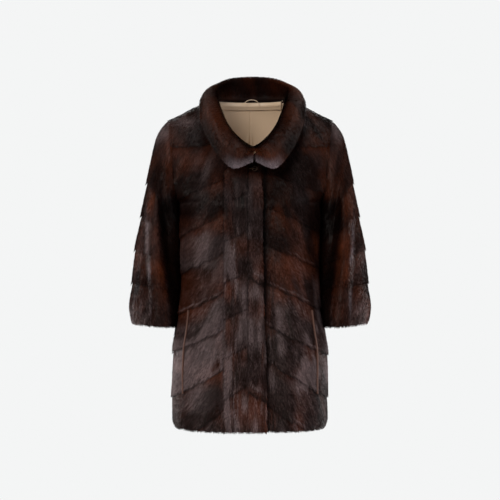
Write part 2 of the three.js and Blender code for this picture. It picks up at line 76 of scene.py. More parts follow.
def mix_colours(low: Array, high: Array, t: Array) -> Array:
    """Returns colours a share t of the way from low to high, with t held from 0 to 1."""
    return low + (high - low) * np.clip(t, 0.0, 1.0)[:, None]


def linear(hex_colour: str) -> Array:
    """Turns an sRGB hex colour into linear red, green and blue.

    Args:
        hex_colour: Six hex digits after a hash sign.

    Returns:
        Three linear values from 0 to 1.
    """
    srgb = np.array([int(hex_colour[k : k + 2], 16) / 255.0 for k in (1, 3, 5)])
    return np.where(srgb <= 0.04045, srgb / 12.92, ((srgb + 0.055) / 1.055) ** 2.4)


def blend_rows(table: Array, place: Array) -> Array:
    """Reads a table of rows at places between them, on a curve through the rows.

    Args:
        table: Rows of numbers, shaped rows by columns.
        place: Row numbers, which may lie between two rows.

    Returns:
        One row of numbers for each place.
    """
    last = len(table) - 1
    at = np.clip(place, 0, last)
    i = np.minimum(np.floor(at).astype(int), last - 1)
    t = (at - i)[..., None]
    a, b = table[np.maximum(i - 1, 0)], table[i]
    c, d = table[i + 1], table[np.minimum(i + 2, last)]
    rise = (2 * t**3 - 3 * t**2 + 1) * b + (3 * t**2 - 2 * t**3) * c
    return rise + (t**3 - 2 * t**2 + t) * (c - a) / 2 + (t**3 - t**2) * (d - b) / 2


class Noise:
    """Smooth random values over a plane, the same ones on each run."""

    SIDE = 256

    def __init__(self, seed: int) -> None:
        """Draws the lattice of values for one seed."""
        self.lattice = np.random.default_rng(seed).random((self.SIDE, self.SIDE)) * 2.0 - 1.0

    def at(self, x: Array, y: Array, scale_x: float, scale_y: float) -> Array:
        """Reads the noise at points in millimetres.

        Args:
            x: Places across.
            y: Places along.
            scale_x: Size of a spot across, in millimetres.
            scale_y: Size of a spot along, in millimetres.

        Returns:
            A value from -1 to 1 for each point.
        """
        gx, gy = x / scale_x, y / scale_y
        ix, iy = np.floor(gx).astype(int), np.floor(gy).astype(int)
        fx, fy = smooth(0.0, 1.0, gx - ix), smooth(0.0, 1.0, gy - iy)
        low = lerp(self.corner(ix, iy), self.corner(ix + 1, iy), fx)
        return lerp(low, lerp(self.corner(ix, iy + 1), self.corner(ix + 1, iy + 1), fx), fy)

    def corner(self, column: Array, row: Array) -> Array:
        """Returns values of the lattice, which repeats past its edges."""
        return self.lattice[column % self.SIDE, row % self.SIDE]


# The coat's form, in millimetres, with the front towards -Y and the wearer's right at -X


class Face(Enum):
    """The two halves of the body between the side seams."""

    FRONT = -1
    BACK = 1


@dataclass(frozen=True)
class CoatSizes:
    """Lengths of the whole coat."""

    hem: float = -795.0
    underarm: float = -247.0
    underarm_x: float = 174.0
    shoulder: tuple[float, float, float] = (199.0, 5.0, -46.0)
    neck: tuple[float, float, float] = (84.0, 5.0, 2.0)
    front_neck: tuple[float, float] = (-103.0, -142.0)
    back_neck: tuple[float, float] = (66.0, 5.0)
    neck_share: float = 0.42
    shoulder_round: float = 0.5
    square: float = 2.35
    armhole_front: float = 82.0
    armhole_back: float = 78.0
    wall: float = 6.0
    lip: float = 4.0
    corner_rise: float = 16.0
    corner_reach: float = 60.0


SIZES = CoatSizes()

# Level, half width, front depth and back depth of the body
BODY_LEVELS = np.array(
    [
        (-795.0, 185.0, 139.0, 132.0),
        (-775.0, 187.5, 141.0, 134.0),
        (-700.0, 188.0, 139.0, 132.0),
        (-600.0, 186.0, 136.0, 128.0),
        (-553.0, 178.0, 134.0, 125.0),
        (-500.0, 171.0, 132.0, 122.0),
        (-420.0, 167.0, 130.0, 119.0),
        (-330.0, 168.0, 129.0, 117.0),
        (-247.0, 174.0, 128.0, 116.0),
    ]
)


class BodyForm:
    """The surface of the body's panels, by a place round the body and a height."""

    def __init__(self, face: Face) -> None:
        """Keeps which half of the body this is."""
        self.face = face
        self.sign = face.value
        self.depth_column = 2 if face is Face.FRONT else 3

    def across(self, around: Array) -> Array:
        """Returns the share of the half width at places round the body."""
        return np.sign(around) * np.abs(np.sin(around * QUARTER)) ** (2.0 / SIZES.square)

    def lower(self, around: Array, z: Array) -> Array:
        """Finds points of the body below the underarm.

        Args:
            around: Places round the body, from -1 to 1 between the side seams.
            z: Levels.

        Returns:
            The points, shaped like around with three columns.
        """
        levels = BODY_LEVELS[:, 0]
        row = np.interp(z, levels, np.arange(len(levels)))
        size = blend_rows(BODY_LEVELS, row)
        bulge = np.abs(np.cos(around * QUARTER)) ** (2.0 / SIZES.square)
        y = self.sign * size[..., self.depth_column] * bulge
        return np.stack([size[..., 1] * self.across(around), y, z], axis=-1)

    def top(self, around: Array) -> Array:
        """Finds the upper edge: the neckline, then the shoulder seam.

        Args:
            around: Places round the body, from -1 to 1.

        Returns:
            The points of the edge.
        """
        front = self.face is Face.FRONT
        side = np.where(around < 0, -1.0, 1.0)
        a = np.abs(around)
        t = np.clip((a - SIZES.neck_share) / (1.0 - SIZES.neck_share), 0.0, 1.0)
        drop = smooth(0.2, 1.2, t) / smooth(0.2, 1.2, 1.0)
        run = [lerp(SIZES.neck[k], SIZES.shoulder[k], t) for k in (0, 1)]
        fall = lerp(SIZES.neck[2], SIZES.shoulder[2], lerp(t, drop, SIZES.shoulder_round))
        turn = np.clip(a / SIZES.neck_share, 0.0, 1.0) * QUARTER
        bend = 1.0 - np.cos(turn)
        y, z = SIZES.front_neck if front else SIZES.back_neck
        reach = SIZES.neck[0] * np.sin(turn) ** (1.3 if front else 1.0)
        neck_y = lerp(y, SIZES.neck[1], bend ** (1.4 if front else 1.0))
        neck_z = lerp(z, SIZES.neck[2], bend ** (0.75 if front else 2.0))
        on_shoulder = a >= SIZES.neck_share
        columns = (
            side * np.where(on_shoulder, run[0], reach),
            np.where(on_shoulder, run[1], neck_y),
            np.where(on_shoulder, fall, neck_z),
        )
        return np.stack(columns, axis=-1)

    def upper(self, around: Array, share: Array) -> Array:
        """Finds points above the underarm.

        Args:
            around: Places round the body.
            share: Share of the way up from the underarm to the upper edge.

        Returns:
            The points.
        """
        low = self.lower(around, np.full_like(around, SIZES.underarm))
        high = self.top(around)
        angle = share * QUARTER
        rise = np.sin(angle)
        turn = 1.0 - np.cos(angle) ** 1.15
        near_arm = smooth(0.3, 1.0, np.abs(around))
        centre_depth = abs(self.lower(np.zeros(1), np.full(1, SIZES.underarm))[0, 1])
        arm = SIZES.armhole_front if self.face is Face.FRONT else SIZES.armhole_back
        swell = np.maximum(0.0, lerp(0.9 * centre_depth, arm, near_arm) - np.abs(low[..., 1]))
        hole = (2.0 * np.sqrt(np.clip(rise * (1.0 - rise), 0.0, 1.0))) ** 0.85
        y = lerp(low[..., 1], high[..., 1], turn) + self.sign * swell * hole
        x = lerp(low[..., 0], high[..., 0], rise ** lerp(1.4, 1.0, near_arm))
        return np.stack([x, y, lerp(low[..., 2], high[..., 2], rise)], axis=-1)

    def hem(self, around: Array) -> Array:
        """Returns the hem's level, which rises in a round corner towards each side seam."""
        past = (np.abs(around) - 1.0) * QUARTER * 160.0 + SIZES.corner_reach
        reach = np.clip(past, 0.0, SIZES.corner_reach) / SIZES.corner_reach
        return SIZES.hem + SIZES.corner_rise * (1.0 - np.sqrt(1.0 - reach**2 * 0.98))

    def point(self, around: Array, height: Array) -> Array:
        """Finds points by one height, from the hem at 0 to the underarm at 1 and the top at 2.

        Args:
            around: Places round the body.
            height: Heights.

        Returns:
            The points.
        """
        z = lerp(self.hem(around), SIZES.underarm, np.clip(height, 0.0, 1.0))
        low = self.lower(around, z)
        high = self.upper(around, np.clip(height - 1.0, 0.0, 1.0))
        return np.where((height >= 1.0)[..., None], high, low)


# Inner x and z, outer x and z, front and back depth, ridge from and to, its height, the hollow's depth
SLEEVE_RINGS = np.array(
    [
        (174.0, -247.0, 199.0, -46.0, 82.0, 78.0, 0.6, 0.95, 0.0, 0.0),
        (177.0, -258.0, 225.0, -84.0, 82.0, 78.0, 0.58, 0.95, 0.0, 0.0),
        (177.0, -280.0, 241.0, -150.0, 80.0, 76.0, 0.56, 0.92, 4.0, 6.0),
        (174.5, -306.0, 253.0, -212.0, 76.0, 74.0, 0.54, 0.88, 12.0, 26.0),
        (172.0, -345.0, 266.0, -284.0, 72.0, 74.0, 0.46, 0.8, 17.0, 34.0),
        (171.5, -400.0, 280.0, -362.0, 72.0, 76.0, 0.36, 0.71, 17.0, 30.0),
        (172.5, -455.0, 287.0, -441.0, 73.0, 78.0, 0.2, 0.6, 15.0, 18.0),
        (176.5, -510.0, 294.0, -500.0, 74.0, 80.0, 0.06, 0.52, 10.0, 6.0),
        (183.0, -552.0, 286.0, -543.0, 72.0, 78.0, 0.04, 0.5, 5.0, 0.0),
    ]
)
SLEEVE_SEAMS = (2.72, 3.9, 4.95, 5.98, 8.0)


def sleeve_point(turn: Array, ring: Array) -> Array:
    """Finds points of the left sleeve.

    Args:
        turn: Angles round the sleeve, from its inner side past its front to its outer side.
        ring: Ring numbers of the table, which may lie between two of its rows.

    Returns:
        The points.
    """
    row = blend_rows(SLEEVE_RINGS, ring)
    inner_x, inner_z, outer_x, outer_z, front, back, low, high, ridge, hollow = np.moveaxis(row, -1, 0)
    f = (1.0 - np.cos(turn)) / 2.0
    at_front = np.sin(turn) > 0.0
    half = (high - low) / 2.0
    crest = ridge * np.maximum(0.0, 1.0 - ((f - (low + high) / 2.0) / (half * 1.15)) ** 2)
    t = np.clip((f - low + 0.16) / 0.22, 0.0, 1.0)
    trough = hollow * (1.0 - t * t * (3.0 - 2.0 * t))
    round_off = np.abs(np.sin(turn)) ** 0.85
    forward = front * round_off + (crest - trough) * round_off
    y = np.where(at_front, -forward, back * round_off)
    return np.stack([lerp(inner_x, outer_x, f), y, lerp(inner_z, outer_z, f)], axis=-1)


# Roll line x, y, z and outer edge x, y, z of the collar, from the centre back to its front end
COLLAR_PLACES = np.array(
    [
        (0.0, 82.0, 69.0, 0.0, 122.0, 2.0),
        (49.0, 71.0, 64.0, 62.0, 113.0, -3.0),
        (78.0, 36.0, 49.0, 107.0, 70.0, 0.0),
        (95.0, -12.0, 27.0, 127.0, -5.0, 2.0),
        (84.0, -62.0, -15.0, 126.0, -80.0, -51.0),
        (66.0, -97.0, -64.0, 110.0, -115.0, -98.0),
        (46.0, -120.0, -96.0, 85.0, -139.0, -142.0),
        (24.0, -133.0, -118.0, 50.0, -151.0, -176.0),
        (4.0, -141.0, -128.0, 5.0, -153.0, -160.0),
    ]
)


@dataclass(frozen=True)
class CollarSizes:
    """How the collar sits on the neckline."""

    shift_back: float = 6.0
    shift_front: float = 10.0
    shift_at_foot: float = 0.5
    shoulder_place: float = 3.0
    above: float = 3.6
    above_front: float = 14.4
    inside: float = 3.0
    wall: float = 9.0
    stand_share: float = 0.55
    stand_lift: float = 5.0
    fall_share: float = 0.45
    fall_lift: float = 9.0


class CollarForm:
    """The collar's middle surface: up the stand, over the roll and down the fall."""

    def __init__(self, sizes: CollarSizes) -> None:
        """Keeps the sizes and the two halves of the neckline."""
        self.sizes = sizes
        self.front = BodyForm(Face.FRONT)
        self.back = BodyForm(Face.BACK)
        self.last = float(len(COLLAR_PLACES) - 1)

    def seam(self, place: Array) -> Array:
        """Finds the foot of the stand on the neckline.

        Args:
            place: Places from the centre back at 0 to the front end.

        Returns:
            The points.
        """
        s = self.sizes
        at_back = place <= s.shoulder_place
        rest = self.last - s.shoulder_place
        share = np.where(at_back, place / s.shoulder_place, (self.last - place) / rest)
        around = np.maximum(share, 0.001) * SIZES.neck_share * 0.999
        p = np.where(at_back[..., None], self.back.top(around), self.front.top(around))
        flat = np.hypot(p[..., 0], p[..., 1])
        above = lerp(s.above, s.above_front, smooth(self.last - 3.0, self.last, place))
        x = p[..., 0] * (1.0 - s.inside / flat)
        y = p[..., 1] * (1.0 - s.inside / flat)
        return np.stack([x, y, p[..., 2] + above], axis=-1)

    def point(self, place: Array, share: Array) -> Array:
        """Finds points of the middle surface.

        Args:
            place: Places from -8 at the right front end to 8 at the left one.
            share: Share of the way from the stand's foot to the fall's edge.

        Returns:
            The points.
        """
        s = self.sizes
        at = np.abs(place)
        row = blend_rows(COLLAR_PLACES, at)
        seam, roll, edge = self.seam(at), row[..., :3], row[..., 3:]
        up = np.array([0.0, 0.0, 1.0])
        stand = lerp(seam, roll, s.stand_share) + up * s.stand_lift
        fall = lerp(roll, edge, s.fall_share) + up * s.fall_lift
        p = centripetal([seam, stand, roll, fall, edge], share)
        side = np.where(place < 0.0, -1.0, 1.0)
        shift = lerp(s.shift_back, s.shift_front, smooth(4.0, self.last, at))
        shift = shift * lerp(s.shift_at_foot, 1.0, smooth(0.0, 0.5, share))
        return np.stack([shift + side * p[..., 0], p[..., 1], p[..., 2]], axis=-1)


def centripetal(knots: list[Array], share: Array) -> Array:
    """Finds points on curves through rows of knots, with no loops where knots lie close together.

    Args:
        knots: The knots in order, each an array of points.
        share: Share of the way along, from 0 to 1.

    Returns:
        The points.
    """
    spans = len(knots) - 1
    at = np.clip(share, 0.0, 1.0) * spans
    index = np.minimum(np.floor(at).astype(int), spans - 1)
    t = (at - index)[..., None]
    ends = [2.0 * knots[0] - knots[1], *knots, 2.0 * knots[-1] - knots[-2]]
    result = np.zeros_like(knots[0])
    for k in range(spans):
        a, b, c, d = ends[k : k + 4]
        gaps = [np.linalg.norm(q - p, axis=-1, keepdims=True) ** 0.5 for p, q in ((a, b), (b, c), (c, d))]
        start = ((b - a) / gaps[0] - (c - a) / (gaps[0] + gaps[1]) + (c - b) / gaps[1]) * gaps[1]
        end = ((c - b) / gaps[1] - (d - b) / (gaps[1] + gaps[2]) + (d - c) / gaps[2]) * gaps[1]
        curve = (2 * t**3 - 3 * t**2 + 1) * b + (t**3 - 2 * t**2 + t) * start
        curve = curve + (3 * t**2 - 2 * t**3) * c + (t**3 - t**2) * end
        result = np.where((index == k)[..., None], curve, result)
    return result


class Surface:
    """A sheet of points that can be read anywhere on it by two shares from 0 to 1."""

    def __init__(self, points: Array, flip: bool, wraps: bool = False) -> None:
        """Works out the surface's slopes and normals.

        Args:
            points: The grid, columns by rows by three.
            flip: Whether the normals are turned round to point out.
            wraps: Whether the last column lies on the first.
        """
        self.points = points
        self.across = np.gradient(points, axis=0) * (len(points) - 1)
        if wraps:
            seam = (points[1] - points[-2]) / 2.0 * (len(points) - 1)
            self.across[0] = self.across[-1] = seam
        self.along = np.gradient(points, axis=1) * (points.shape[1] - 1)
        normal = np.cross(self.across, self.along)
        normal /= np.maximum(np.linalg.norm(normal, axis=-1, keepdims=True), 1e-9)
        self.normals = -normal if flip else normal
        self.wraps = wraps

    def read(self, grid: Array, a: Array, b: Array) -> Array:
        """Reads a grid between its points.

        Args:
            grid: One of the surface's grids.
            a: Shares across.
            b: Shares along.

        Returns:
            A value for each place.
        """
        x = np.clip(a, 0.0, 1.0) * (grid.shape[0] - 1)
        y = np.clip(b, 0.0, 1.0) * (grid.shape[1] - 1)
        i = np.minimum(x.astype(int), grid.shape[0] - 2)
        j = np.minimum(y.astype(int), grid.shape[1] - 2)
        fx, fy = (x - i)[..., None], (y - j)[..., None]
        low = lerp(grid[i, j], grid[i + 1, j], fx)
        return lerp(low, lerp(grid[i, j + 1], grid[i + 1, j + 1], fx), fy)

    def at(self, a: Array, b: Array, depth: Array) -> Array:
        """Finds points off the surface, running straight on past its edges.

        Args:
            a: Shares across, which may pass 0 or 1.
            b: Shares along, which may pass 0 or 1.
            depth: Distances out from the surface.

        Returns:
            The points.
        """
        if self.wraps:
            a = a % 1.0
        over_a = (a - np.clip(a, 0.0, 1.0))[..., None]
        over_b = (b - np.clip(b, 0.0, 1.0))[..., None]
        p = self.read(self.points, a, b) + self.read(self.normals, a, b) * depth[..., None]
        return p + self.read(self.across, a, b) * over_a + self.read(self.along, a, b) * over_b

    def scatter(self, count: int, rng: np.random.Generator) -> tuple[Array, Array]:
        """Draws places spread evenly over the surface.

        Args:
            count: How many.
            rng: The random numbers.

        Returns:
            Shares across and shares along.
        """
        size = np.linalg.norm(np.cross(self.across, self.along), axis=-1)
        cells = (size[:-1, :-1] + size[1:, 1:]).ravel()
        chosen = rng.choice(len(cells), count, p=cells / cells.sum())
        i, j = np.divmod(chosen, self.points.shape[1] - 1)
        a = (i + rng.random(count)) / (self.points.shape[0] - 1)
        b = (j + rng.random(count)) / (self.points.shape[1] - 1)
        return a, b


# Finishes


def add_node(material: bpy.types.Material, kind: str, settings: dict, links: dict) -> bpy.types.Node:
    """Adds one shader node.

    Args:
        material: The material that gets it.
        kind: The node's type name.
        settings: Values of its own settings or sockets, by name.
        links: Output sockets to join to its inputs, by input name.

    Returns:
        The node.
    """
    tree = material.node_tree
    node = tree.nodes.new(kind)
    for name, value in settings.items():
        if hasattr(node, name):
            setattr(node, name, value)
        else:
            node.inputs[name].default_value = value
    for name, socket in links.items():
        tree.links.new(socket, node.inputs[name])
    return node


@dataclass(frozen=True)
class Finish:
    """A painted, woven or grown surface, with constant numbers for its gloss."""

    name: str
    colour: str
    roughness: float
    ior: float = 1.5
    metallic: float = 0.0
    specular: float = 0.5
    sheen: float = 0.0
    sheen_roughness: float = 0.4
    sheen_colour: str = "#ffffff"
    from_attribute: bool = False
    weave_mm: float = 0.0
    bump: float = 0.0

    def make(self) -> bpy.types.Material:
        """Builds the material's nodes.

        Returns:
            The material.
        """
        material = bpy.data.materials.new(self.name)
        material.use_nodes = True
        material.node_tree.nodes.clear()
        settings = {
            "Base Color": (*linear(self.colour), 1.0),
            "Roughness": self.roughness,
            "IOR": self.ior,
            "Metallic": self.metallic,
            "Specular IOR Level": self.specular,
            "Sheen Weight": self.sheen,
            "Sheen Roughness": self.sheen_roughness,
            "Sheen Tint": (*linear(self.sheen_colour), 1.0),
        }
        links = {}
        if self.from_attribute:
            colour = add_node(material, "ShaderNodeVertexColor", {"layer_name": COLOUR_LAYER}, {})
            links["Base Color"] = colour.outputs["Color"]
        if self.bump > 0.0:
            where = add_node(material, "ShaderNodeTexCoord", {}, {})
            scale = 1.0 / (self.weave_mm * MM)
            grain = add_node(
                material,
                "ShaderNodeTexNoise",
                {"Scale": scale, "Detail": 2.0},
                {"Vector": where.outputs["Object"]},
            )
            bump = add_node(
                material,
                "ShaderNodeBump",
                {"Strength": self.bump, "Distance": self.weave_mm * MM},
                {"Height": grain.outputs["Fac"]},
            )
            links["Normal"] = bump.outputs["Normal"]
        shader = add_node(material, "ShaderNodeBsdfPrincipled", settings, links)
        add_node(material, "ShaderNodeOutputMaterial", {}, {"Surface": shader.outputs["BSDF"]})
        return material


COLOUR_LAYER = "FurColour"
UV_LAYER = "OFBake"

# Mink guard hair, brushed and glazed: the eye sees dark brown that turns grey-lilac where it shines; that
# grey-lilac sheen is painted into its colour attribute
GUARD_HAIR = Finish(
    "mink guard hair, glazed", "#3a2118", 0.34, ior=1.55, specular=0.06, from_attribute=True
)
# Mink underfur, dense and dull: the eye sees only a darker brown between the hairs
UNDERFUR = Finish(
    "mink underfur, dense", "#2a1710", 0.85, specular=0.1, from_attribute=True, weave_mm=1.5, bump=0.6
)
# Acetate satin lining, calendered: the eye sees warm beige with a soft lustre
SATIN = Finish(
    "acetate satin lining, calendered",
    "#d8bfa3",
    0.38,
    ior=1.47,
    sheen=0.35,
    sheen_roughness=0.3,
    sheen_colour="#fff4e6",
    weave_mm=0.6,
    bump=0.08,
)
# Chrome-tanned pelt leather, shaved: the eye sees a thin brown edge a little paler than the fur
PELT_LEATHER = Finish("pelt leather, shaved", "#5c3c30", 0.7, weave_mm=0.8, bump=0.2)
# Brass wire, bronzed and lacquered: the eye sees a dark brown glint
BRONZED_WIRE = Finish("brass wire, bronzed", "#4a3a30", 0.32, metallic=1.0)


# Meshes


def mesh_object(name: str, points: Array, faces: Array, uv: Array, colours: Array | None) -> bpy.types.Object:
    """Makes an object from points in millimetres.

    Args:
        name: The object's name.
        points: Its points.
        faces: Rows of point numbers, all of one length.
        uv: Places on the texture square, one for each point.
        colours: Linear colours, one for each point, or None.

    Returns:
        The object, linked to the scene.
    """
    mesh = bpy.data.meshes.new(name)
    per_face = faces.shape[1]
    mesh.vertices.add(len(points))
    mesh.vertices.foreach_set("co", (points * MM).astype(np.float32).ravel())
    mesh.loops.add(faces.size)
    mesh.loops.foreach_set("vertex_index", faces.astype(np.int32).ravel())
    mesh.polygons.add(len(faces))
    mesh.polygons.foreach_set("loop_start", np.arange(0, faces.size, per_face, dtype=np.int32))
    mesh.update(calc_edges=True)
    mesh.shade_smooth()
    layer = mesh.uv_layers.new(name=UV_LAYER)
    layer.data.foreach_set("uv", uv[faces.ravel()].astype(np.float32).ravel())
    if colours is not None:
        attribute = mesh.color_attributes.new(COLOUR_LAYER, "FLOAT_COLOR", "POINT")
        rgba = np.concatenate([colours, np.ones((len(colours), 1))], axis=1)
        attribute.data.foreach_set("color", rgba.astype(np.float32).ravel())
    obj = bpy.data.objects.new(name, mesh)
    bpy.context.scene.collection.objects.link(obj)
    return obj


def dress(obj: bpy.types.Object, *materials: bpy.types.Material) -> None:
    """Gives an object its materials."""
    for material in materials:
        obj.data.materials.append(material)


def grid_faces(columns: int, rows: int, first: int, turned: bool) -> Array:
    """Lists the four-cornered faces of a grid of points.

    Args:
        columns: Points across.
        rows: Points along.
        first: The number of the grid's first point.
        turned: Whether the faces look the other way.

    Returns:
        Rows of four point numbers.
    """
    i, j = np.meshgrid(np.arange(columns - 1), np.arange(rows - 1), indexing="ij")
    corner = (first + i * rows + j).ravel()
    faces = np.stack([corner, corner + rows, corner + rows + 1, corner + 1], axis=1)
    return faces[:, ::-1] if turned else faces


@dataclass(frozen=True)
class Shell:
    """A thin closed sheet between an outer and an inner grid of points."""

    outer: Array
    inner: Array
    flip: bool
    wraps: bool = False
    fur_rows: int = 0

    def build(
        self,
        name: str,
        materials: tuple[bpy.types.Material, ...],
        outer_colour: Callable[[Array, Array], Array] | None = None,
    ) -> bpy.types.Object:
        """Makes the sheet, with the first material outside and on its edges and the last one inside.

        Args:
            name: The object's name.
            materials: One or two materials.
            outer_colour: Colours for shares across and along, or None.

        Returns:
            The object.
        """
        columns, rows = self.outer.shape[:2]
        count = columns * rows
        points = np.concatenate([self.outer.reshape(-1, 3), self.inner.reshape(-1, 3)])
        number = np.arange(count).reshape(columns, rows)
        rims = [number[:, 0], number[:, -1][::-1]]
        if not self.wraps:
            rims += [number[0][::-1], number[-1]]
        outside = grid_faces(columns, rows, 0, self.flip)
        inside = grid_faces(columns, rows, count, not self.flip)
        edges = []
        for rim in rims:
            strip = np.stack([rim[1:], rim[:-1], rim[:-1] + count, rim[1:] + count], axis=1)
            edges.append(strip[:, ::-1] if self.flip else strip)
        faces = np.concatenate([outside, inside, *edges])
        a, b = grid_shares(columns, rows)
        half = np.stack([a.ravel() * 0.48 + 0.01, b.ravel() * 0.98 + 0.01], axis=1)
        uv = np.concatenate([half, half + np.array([0.5, 0.0])])
        colours = None
        if outer_colour is not None:
            painted = outer_colour(a.ravel(), b.ravel())
            colours = np.concatenate([painted, painted])
        obj = mesh_object(name, points, faces, uv, colours)
        dress(obj, *materials)
        lined = np.full((columns - 1, rows - 1), len(materials) - 1, dtype=np.int32)
        lined[:, rows - 1 - self.fur_rows :] = 0
        index = np.zeros(len(faces), dtype=np.int32)
        index[len(outside) : len(outside) + len(inside)] = lined.ravel()
        obj.data.polygons.foreach_set("material_index", index)
        if self.wraps:
            weld(obj)
        return obj


def weld(obj: bpy.types.Object) -> None:
    """Joins the first and last columns of a sheet that goes all round."""
    modifier = obj.modifiers.new("join the round", "WELD")
    modifier.merge_threshold = 0.02 * MM


@dataclass
class Pile:
    """Hair as it grows: where it stands, which way it lies, and its colours."""

    a: Array
    b: Array
    lie_across: Array
    lie_along: Array
    length: Array
    width: Array
    root: Array
    middle: Array
    tip: Array
    twist: Array
    stray_x: Array
    stray_y: Array
    sparkle: float
    colours: tuple[Array, Array, Array]

    BLADE_POINTS = 5
    MIDDLE_WIDTH = 0.9
    UV_HALF = 0.0006

    def build(self, name: str, surface: Surface) -> bpy.types.Object:
        """Makes the hair as bent, tapering blades.

        Args:
            name: The object's name.
            surface: The surface that it grows on.

        Returns:
            The object.
        """
        size_a = np.linalg.norm(surface.read(surface.across, self.a, self.b), axis=-1)
        size_b = np.linalg.norm(surface.read(surface.along, self.a, self.b), axis=-1)
        step_a = self.lie_across * self.length / size_a
        step_b = self.lie_along * self.length / size_b
        shares = (0.0, 0.5, 1.0)
        depths = (self.root, self.middle, self.tip)
        line = [surface.at(self.a + step_a * s, self.b + step_b * s, d) for s, d in zip(shares, depths)]
        run = line[2] - line[0]
        run /= np.linalg.norm(run, axis=-1, keepdims=True)
        normal = surface.read(surface.normals, self.a % 1.0 if surface.wraps else self.a, self.b)
        side = np.cross(run, normal)
        side /= np.maximum(np.linalg.norm(side, axis=-1, keepdims=True), 1e-9)
        lift = np.cross(side, run)
        turned = side * np.cos(self.twist)[:, None] + lift * np.sin(self.twist)[:, None]
        half = turned * (self.width / 2.0)[:, None]
        thin = half * self.MIDDLE_WIDTH
        points = np.stack([line[0] - half, line[0] + half, line[1] + thin, line[1] - thin, line[2]], 1)
        first = np.arange(len(self.a))[:, None] * self.BLADE_POINTS
        triangles = np.array([0, 1, 2, 0, 2, 3, 3, 2, 4])
        faces = (first + triangles).reshape(-1, 3)
        root, middle, tip = self.colours
        colours = np.stack([root, root, middle, middle, tip], axis=1).reshape(-1, 3)
        slim, middle_a, middle_b = self.UV_HALF, self.a + step_a / 2, self.b + step_b / 2
        us = [self.a - slim, self.a + slim, middle_a + slim, middle_a - slim, self.a + step_a]
        vs = [self.b, self.b, middle_b, middle_b, self.b + step_b]
        uv = np.stack([np.stack(us, 1), np.stack(vs, 1)], axis=-1).reshape(-1, 2)
        obj = mesh_object(name, points.reshape(-1, 3), faces, np.clip(uv, 0.0, 1.0), colours)
        shine = lift + self.sparkle * (side * self.stray_x[:, None] + run * self.stray_y[:, None])
        shine /= np.linalg.norm(shine, axis=-1, keepdims=True)
        obj.data.normals_split_custom_set_from_vertices(np.repeat(shine, self.BLADE_POINTS, axis=0))
        return obj


# How the fur grows and is coloured


@dataclass(frozen=True)
class HairSizes:
    """Sizes of the guard hair, in millimetres, and how far it strays, in degrees."""

    length: float = 10.0
    width: float = 1.2
    root_depth: float = -2.2
    stray: float = 7.0
    wander: float = 8.0
    ripple: float = 4.0
    twist: float = 20.0
    sparkle: float = 0.1
    overhang: float = 4.5
    bend_at: float = 0.72


@dataclass(frozen=True)
class Growth:
    """How the fur of a piece lies and stands, and where sheen and shade are painted on it, with a value for
    each root.
    """

    share: Array
    lean: Array
    downwards: float
    reach: Array
    to_edge: Array
    # Share of grey-lilac sheen painted into the colour
    glossy: Array
    # Share of silver: a painted rim highlight on the body's side edges and the sleeves' ridges, and silver
    # tips at the outer edge of the collar's front leaves
    silver_and_rim_sheen: Array
    shadow: Array


@dataclass(frozen=True)
class Spots:
    """Sizes of the fur's spots across and along the hair, in millimetres."""

    streak: tuple[float, float] = (2.8, 17.0)
    patch: tuple[float, float] = (45.0, 50.0)
    lock: tuple[float, float] = (16.0, 60.0)
    # spots of the painted sheen
    shine: tuple[float, float] = (42.0, 80.0)
    glint: tuple[float, float] = (14.0, 45.0)
    bend: tuple[float, float] = (38.0, 60.0)
    ripple: tuple[float, float] = (7.0, 30.0)
    tuft: tuple[float, float] = (6.0, 16.0)


SPOTS = Spots()
DEPTH_SHARE = 0.6
GLINT_SHIFT = 500.0
# The most painted sheen in a hair's colour, and the levels below which the painted highlight above each
# pelt's lip comes in
MOST_GLOSS = 0.75
RIM_LEVELS = (-250.0, -480.0)

# How light a hair is at its root, in its middle and at its tip
ROOT_SHADE = 0.7
MIDDLE_SHADE = 0.95
TIP_SHADE = 1.05


@dataclass(frozen=True)
class FurLook:
    """Colours of a pelt from under the lip above it down to its own lip, with the sheen, rim highlight and
    shade painted on it, and their strengths.
    """

    # shade: near-black for painted shade at each pelt's lip and wherever the growth asks for shadow
    shade: str = "#0a0403"
    deep: str = "#200c06"
    warm: str = "#4f2410"
    # gloss: grey-lilac for painted sheen; silver: lighter grey for a painted rim highlight and the collar's
    # silver tips
    gloss: str = "#7a6868"
    silver: str = "#93858b"
    warm_least: float = 0.12
    warm_upwards: float = 0.42
    warm_patch: float = 0.75
    lip_shade: float = 0.85
    streak_strength: float = 0.55
    patch_strength: float = 0.3

    def colours(self, growth: Growth, streak: Array, patch: Array) -> Array:
        """Mixes the fur's colour.

        Args:
            growth: Where each place lies on its pelt, and the sheen and shade painted there.
            streak: Fine noise along the hair, from -1 to 1.
            patch: Broad noise, from -1 to 1.

        Returns:
            Linear colours, one for each point.
        """
        deep, warm, gloss, silver, shade = [
            linear(tone) for tone in (self.deep, self.warm, self.gloss, self.silver, self.shade)
        ]
        share = growth.share
        warmth = self.warm_least + self.warm_upwards * smooth(0.25, 1.0, share) + self.warm_patch * patch
        colour = mix_colours(deep * np.ones((len(share), 3)), warm, warmth)
        # Painted sheen, then painted rim highlight and silver tips
        colour = mix_colours(colour, gloss, growth.glossy)
        colour = mix_colours(colour, silver, growth.silver_and_rim_sheen)
        # Painted shade in a dark line at each pelt's lip, where it laps over the pelt below, and the growth's
        # shadow
        under_lip = smooth(0.05, 0.0, share) * self.lip_shade
        colour = mix_colours(colour, shade, np.maximum(under_lip, growth.shadow))
        streaked = colour * (1.0 + self.streak_strength * streak)[:, None]
        return np.clip(streaked * (1.0 + self.patch_strength * patch)[:, None], 0.0, 1.0)


